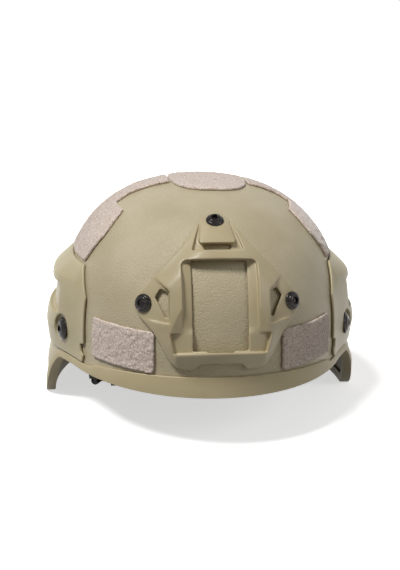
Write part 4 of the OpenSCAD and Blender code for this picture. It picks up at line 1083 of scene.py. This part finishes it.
PAD_MID = SHELL_T + DISC_GAP + DISC_T + SEAT_GAP + PAD_T / 2
PAD_VOXEL = 3.5 * MM
PAD_INSET = 0.7 * MM
PRESSURE = 4
SWELL_IN, SWELL_OUT = 1.6 * MM, 0.2 * MM
SWELL_FRAMES = 20
PIPE_R = 1.0 * MM
PIPE_STEP = 1.2 * MM
CUP_VOXEL, CUP_INSET = 1.1 * MM, 0.1 * MM
CROWN_X, CROWN_Y = 46 * MM, 52 * MM
# Angle, half length, middle height, half height and side of each pad on the wall
WALL_PADS = {
    "front_pad": (0, 46, 84, 17, 1), "rear_pad": (180, 46, 92, 19, 1),
    "pad_front_left": (50, 29, 103, 19, 1), "pad_front_right": (50, 29, 103, 19, -1),
    "pad_rear_left": (117, 29, 103, 19, 1), "pad_rear_right": (117, 29, 103, 19, -1),
}


def places_of(mesh):
    return np.array([vertex.co for vertex in mesh.vertices])


def soft_copy(name, node_name, voxel, inset):
    obj = linked(name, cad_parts[node_name].data.copy())
    modify(obj, "REMESH", mode="VOXEL", voxel_size=voxel)
    modify(obj, "DISPLACE", mid_level=0, strength=-inset)
    settle(obj)
    return obj


def swell(objects):
    """Blows up all pads together, keeping each point near where it was and off the shell."""
    before = [places_of(obj.data) for obj in objects]
    for obj in objects:
        settings = modify(obj, "CLOTH").settings
        settings.use_pressure = True
        settings.uniform_pressure_force = PRESSURE
        settings.effector_weights.gravity = 0
    scene = bpy.context.scene
    for number in range(1, SWELL_FRAMES + 1):
        scene.frame_set(number)
    for obj, start in zip(objects, before):
        settle(obj)
        move = places_of(obj.data) - start
        move *= np.minimum(1, SWELL_IN / np.maximum(1e-9, length_of(move)))
        outward = unit(start - CENTRE)
        out = np.sum(move * outward, axis=1)
        move -= np.maximum(0, out - SWELL_OUT)[:, None] * outward
        obj.data.vertices.foreach_set("co", (start + move).astype(np.float32).ravel())
        obj.data.update()
    scene.frame_set(1)


def finish_soft(obj, material, node_name, body="helmet"):
    modify(obj, "SUBSURF", levels=1)
    settle(obj)
    dress(obj, material, node_name, body)


def pipe(name, path):
    """A closed cord of cloth along a seam."""
    sides = 10
    path = np.vstack((path, path[:1]))
    along = lengths_along(path)
    spots = np.linspace(0, along[-1], int(along[-1] / PIPE_STEP), endpoint=False)
    path = picked(spots, along, path)
    way = unit(np.roll(path, -1, 0) - np.roll(path, 1, 0))
    first = unit(np.cross(way, unit(path - CENTRE)))
    second = np.cross(way, first)
    turn = (np.arange(sides) * 2 * math.pi / sides)[None, :, None]
    radius = PIPE_R * (1 + 0.05 * np.cos(np.arange(len(path)) * 2 * math.pi / 5))[:, None, None]
    rings = path[:, None] + radius * (np.cos(turn) * first[:, None] + np.sin(turn) * second[:, None])
    piece(name, rings, ring_faces(len(path), sides), PAD_FABRIC)


def wall_seam(turn, half_l, z_mid, half_h, side):
    edge = np.linspace(-1, 1, 41)
    one = np.ones_like(edge)
    u = np.concatenate((edge, one, edge[::-1], -one))
    v = np.concatenate((-one, edge, one, edge[::-1]))
    narrow = (1 - np.minimum(np.abs(v), 0.985) ** 5) ** 0.2 * (1 - 0.05 * cos_deg(90 * v) ** 2)
    z = (z_mid + v * half_h * (1 - 0.05 * cos_deg(90 * u) ** 2)) * MM
    turns = turn + np.degrees(u * half_l * MM * narrow / plan_r(turn, -PAD_MID))
    return flipped(skin(turns, z, -PAD_MID), side)


def crown_seam():
    a = np.arange(0, 360, 3)
    k = 1 + 0.02 * cos_deg(4 * a)
    return roof(CROWN_X * k * cos_deg(a), CROWN_Y * k * sin_deg(a), -PAD_MID)


def build_pads():
    names = list(WALL_PADS) + ["crown_pad", "nape_pad"]
    objects = [soft_copy("soft_" + name, name, PAD_VOXEL, PAD_INSET) for name in names]
    swell(objects)
    for obj, name in zip(objects, names):
        finish_soft(obj, LINING_FABRIC if name == "nape_pad" else PAD_FABRIC, name)
    for name, spot in WALL_PADS.items():
        pipe("piping_" + name, wall_seam(*spot))
    pipe("piping_crown_pad", crown_seam())


def build_cup():
    obj = soft_copy("soft_chin_cup", "chin_cup", CUP_VOXEL, CUP_INSET)
    modify(obj, "SMOOTH", iterations=6)
    settle(obj)
    finish_soft(obj, LINING_FABRIC, "chin_cup", "cup")


# Nodes whose CAD shape stays

NODE_LOOKS = (
    (GREY_STEEL, ("mount_nuts", "rail_nuts", "dial_screws")),
    (BLACK_STEEL, ("strap_anchors",)),
    (HOOK_FABRIC, ("pad_discs",)),
    (BLACK_POLYMER, ("dial_housing", "dial_cover", "dial_knob", "band_left", "band_right", "strap_ring_left",
                     "strap_ring_right", "strap_slider", "buckle_plug", "buckle_socket")),
)


def dress_nodes():
    for material, names in NODE_LOOKS:
        for name in names:
            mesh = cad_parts[name].data
            mesh.materials.clear()
            mesh.materials.append(material)


# Camera, floor and light

IMAGE_W, IMAGE_H = 400, 570
CAMERA_AZ, CAMERA_EL, CAMERA_ROLL = -6.3, 14.6, 0.69
CAMERA_AWAY = 0.846
FOCAL_PX = 1015
AIM = Vector((0, 0, 0.090))
CENTRE_PX = (200.1, 281.2)
SENSOR = 36
# Azimuth, elevation, share of white and spread of each lamp
KEY_LAMP = (-64, 60, 0.97, 18)
FILL_LAMP = (60, 30, 0.16, 30)
LAMP_AWAY = 3
SKY_LEVEL = 0.14
WHITE = (1, 1, 1, 1)
FLOOR_HALF = 30
# Added to the floor where the camera sees it, so that it is white outside the shadow
FLOOR_GLOW = 0.6


def way_back(azimuth, elevation):
    """Direction from the object to a place round it."""
    az, el = math.radians(azimuth), math.radians(elevation)
    return Vector((math.sin(az) * math.cos(el), -math.cos(az) * math.cos(el), math.sin(el)))


def build_camera():
    data = bpy.data.cameras.new("camera")
    data.sensor_width = SENSOR
    data.lens = FOCAL_PX / IMAGE_H * SENSOR
    data.shift_x = (IMAGE_W / 2 - CENTRE_PX[0]) / IMAGE_H
    data.shift_y = (CENTRE_PX[1] - IMAGE_H / 2) / IMAGE_H
    data.clip_start, data.clip_end = 0.05, 50
    camera = linked("camera", data)
    back = way_back(CAMERA_AZ, CAMERA_EL)
    camera.location = AIM + back * CAMERA_AWAY
    roll = Matrix.Rotation(math.radians(CAMERA_ROLL), 3, "Z")
    camera.rotation_euler = ((-back).to_track_quat("-Z", "Y").to_matrix() @ roll).to_euler()
    bpy.context.scene.camera = camera


def by_ray(tree, lit, seen):
    """The second shader for rays that show the background, straight or in a gloss, else the first."""
    path = node(tree, "ShaderNodeLightPath")
    share = path.outputs["Is Camera Ray"]
    for name in ("Is Glossy Ray", "Is Transmission Ray"):
        share = math_of("MAXIMUM", share, path.outputs[name])
    choose = node(tree, "ShaderNodeMixShader")
    link(share, choose, "Fac")
    link(lit.outputs[0], choose, 1)
    link(seen.outputs[0], choose, 2)
    return choose.outputs["Shader"]


def build_floor():
    corners = [(x * FLOOR_HALF, y * FLOOR_HALF, 0) for x, y in ((-1, -1), (1, -1), (1, 1), (-1, 1))]
    floor = mesh_object("floor", corners, [(0, 1, 2, 3)])
    material, shader = new_material("floor_paper", (112, 111, 109), 0.9, Specular_IOR_Level=0)
    tree = shader.id_data
    lifted = node(tree, "ShaderNodeAddShader")
    link(node(tree, "ShaderNodeBsdfDiffuse", Color=WHITE).outputs["BSDF"], lifted, 0)
    link(node(tree, "ShaderNodeEmission", Strength=FLOOR_GLOW).outputs["Emission"], lifted, 1)
    link(by_ray(tree, shader, lifted), tree.nodes["Material Output"], "Surface")
    floor.data.materials.append(material)


def build_world():
    world = bpy.data.worlds.new("studio")
    bpy.context.scene.world = world
    world.use_nodes = True
    tree = world.node_tree
    light = give(tree.nodes["Background"], Color=(1, 0.985, 0.96, 1), Strength=SKY_LEVEL)
    seen = node(tree, "ShaderNodeBackground", Color=WHITE, Strength=1)
    link(by_ray(tree, light, seen), tree.nodes["World Output"], "Surface")


def build_lamp(name, azimuth, elevation, share, spread):
    """A broad far lamp that lights a surface facing it to a share of white, alike over the whole floor."""
    data = bpy.data.lights.new(name, "SUN")
    data.energy = share * math.pi
    data.angle = math.radians(spread)
    lamp = linked(name, data)
    back = way_back(azimuth, elevation)
    lamp.location = AIM + back * LAMP_AWAY
    lamp.rotation_euler = back.to_track_quat("Z", "Y").to_euler()


bpy.context.scene.view_settings.view_transform = "Standard"
build_camera()
build_floor()
build_world()
build_lamp("key", *KEY_LAMP)
build_lamp("fill", *FILL_LAMP)
build_shell()
build_trim()
build_mount()
build_rails()
build_bolts()
build_patches()
build_webbing()
build_pads()
build_cup()
dress_nodes()
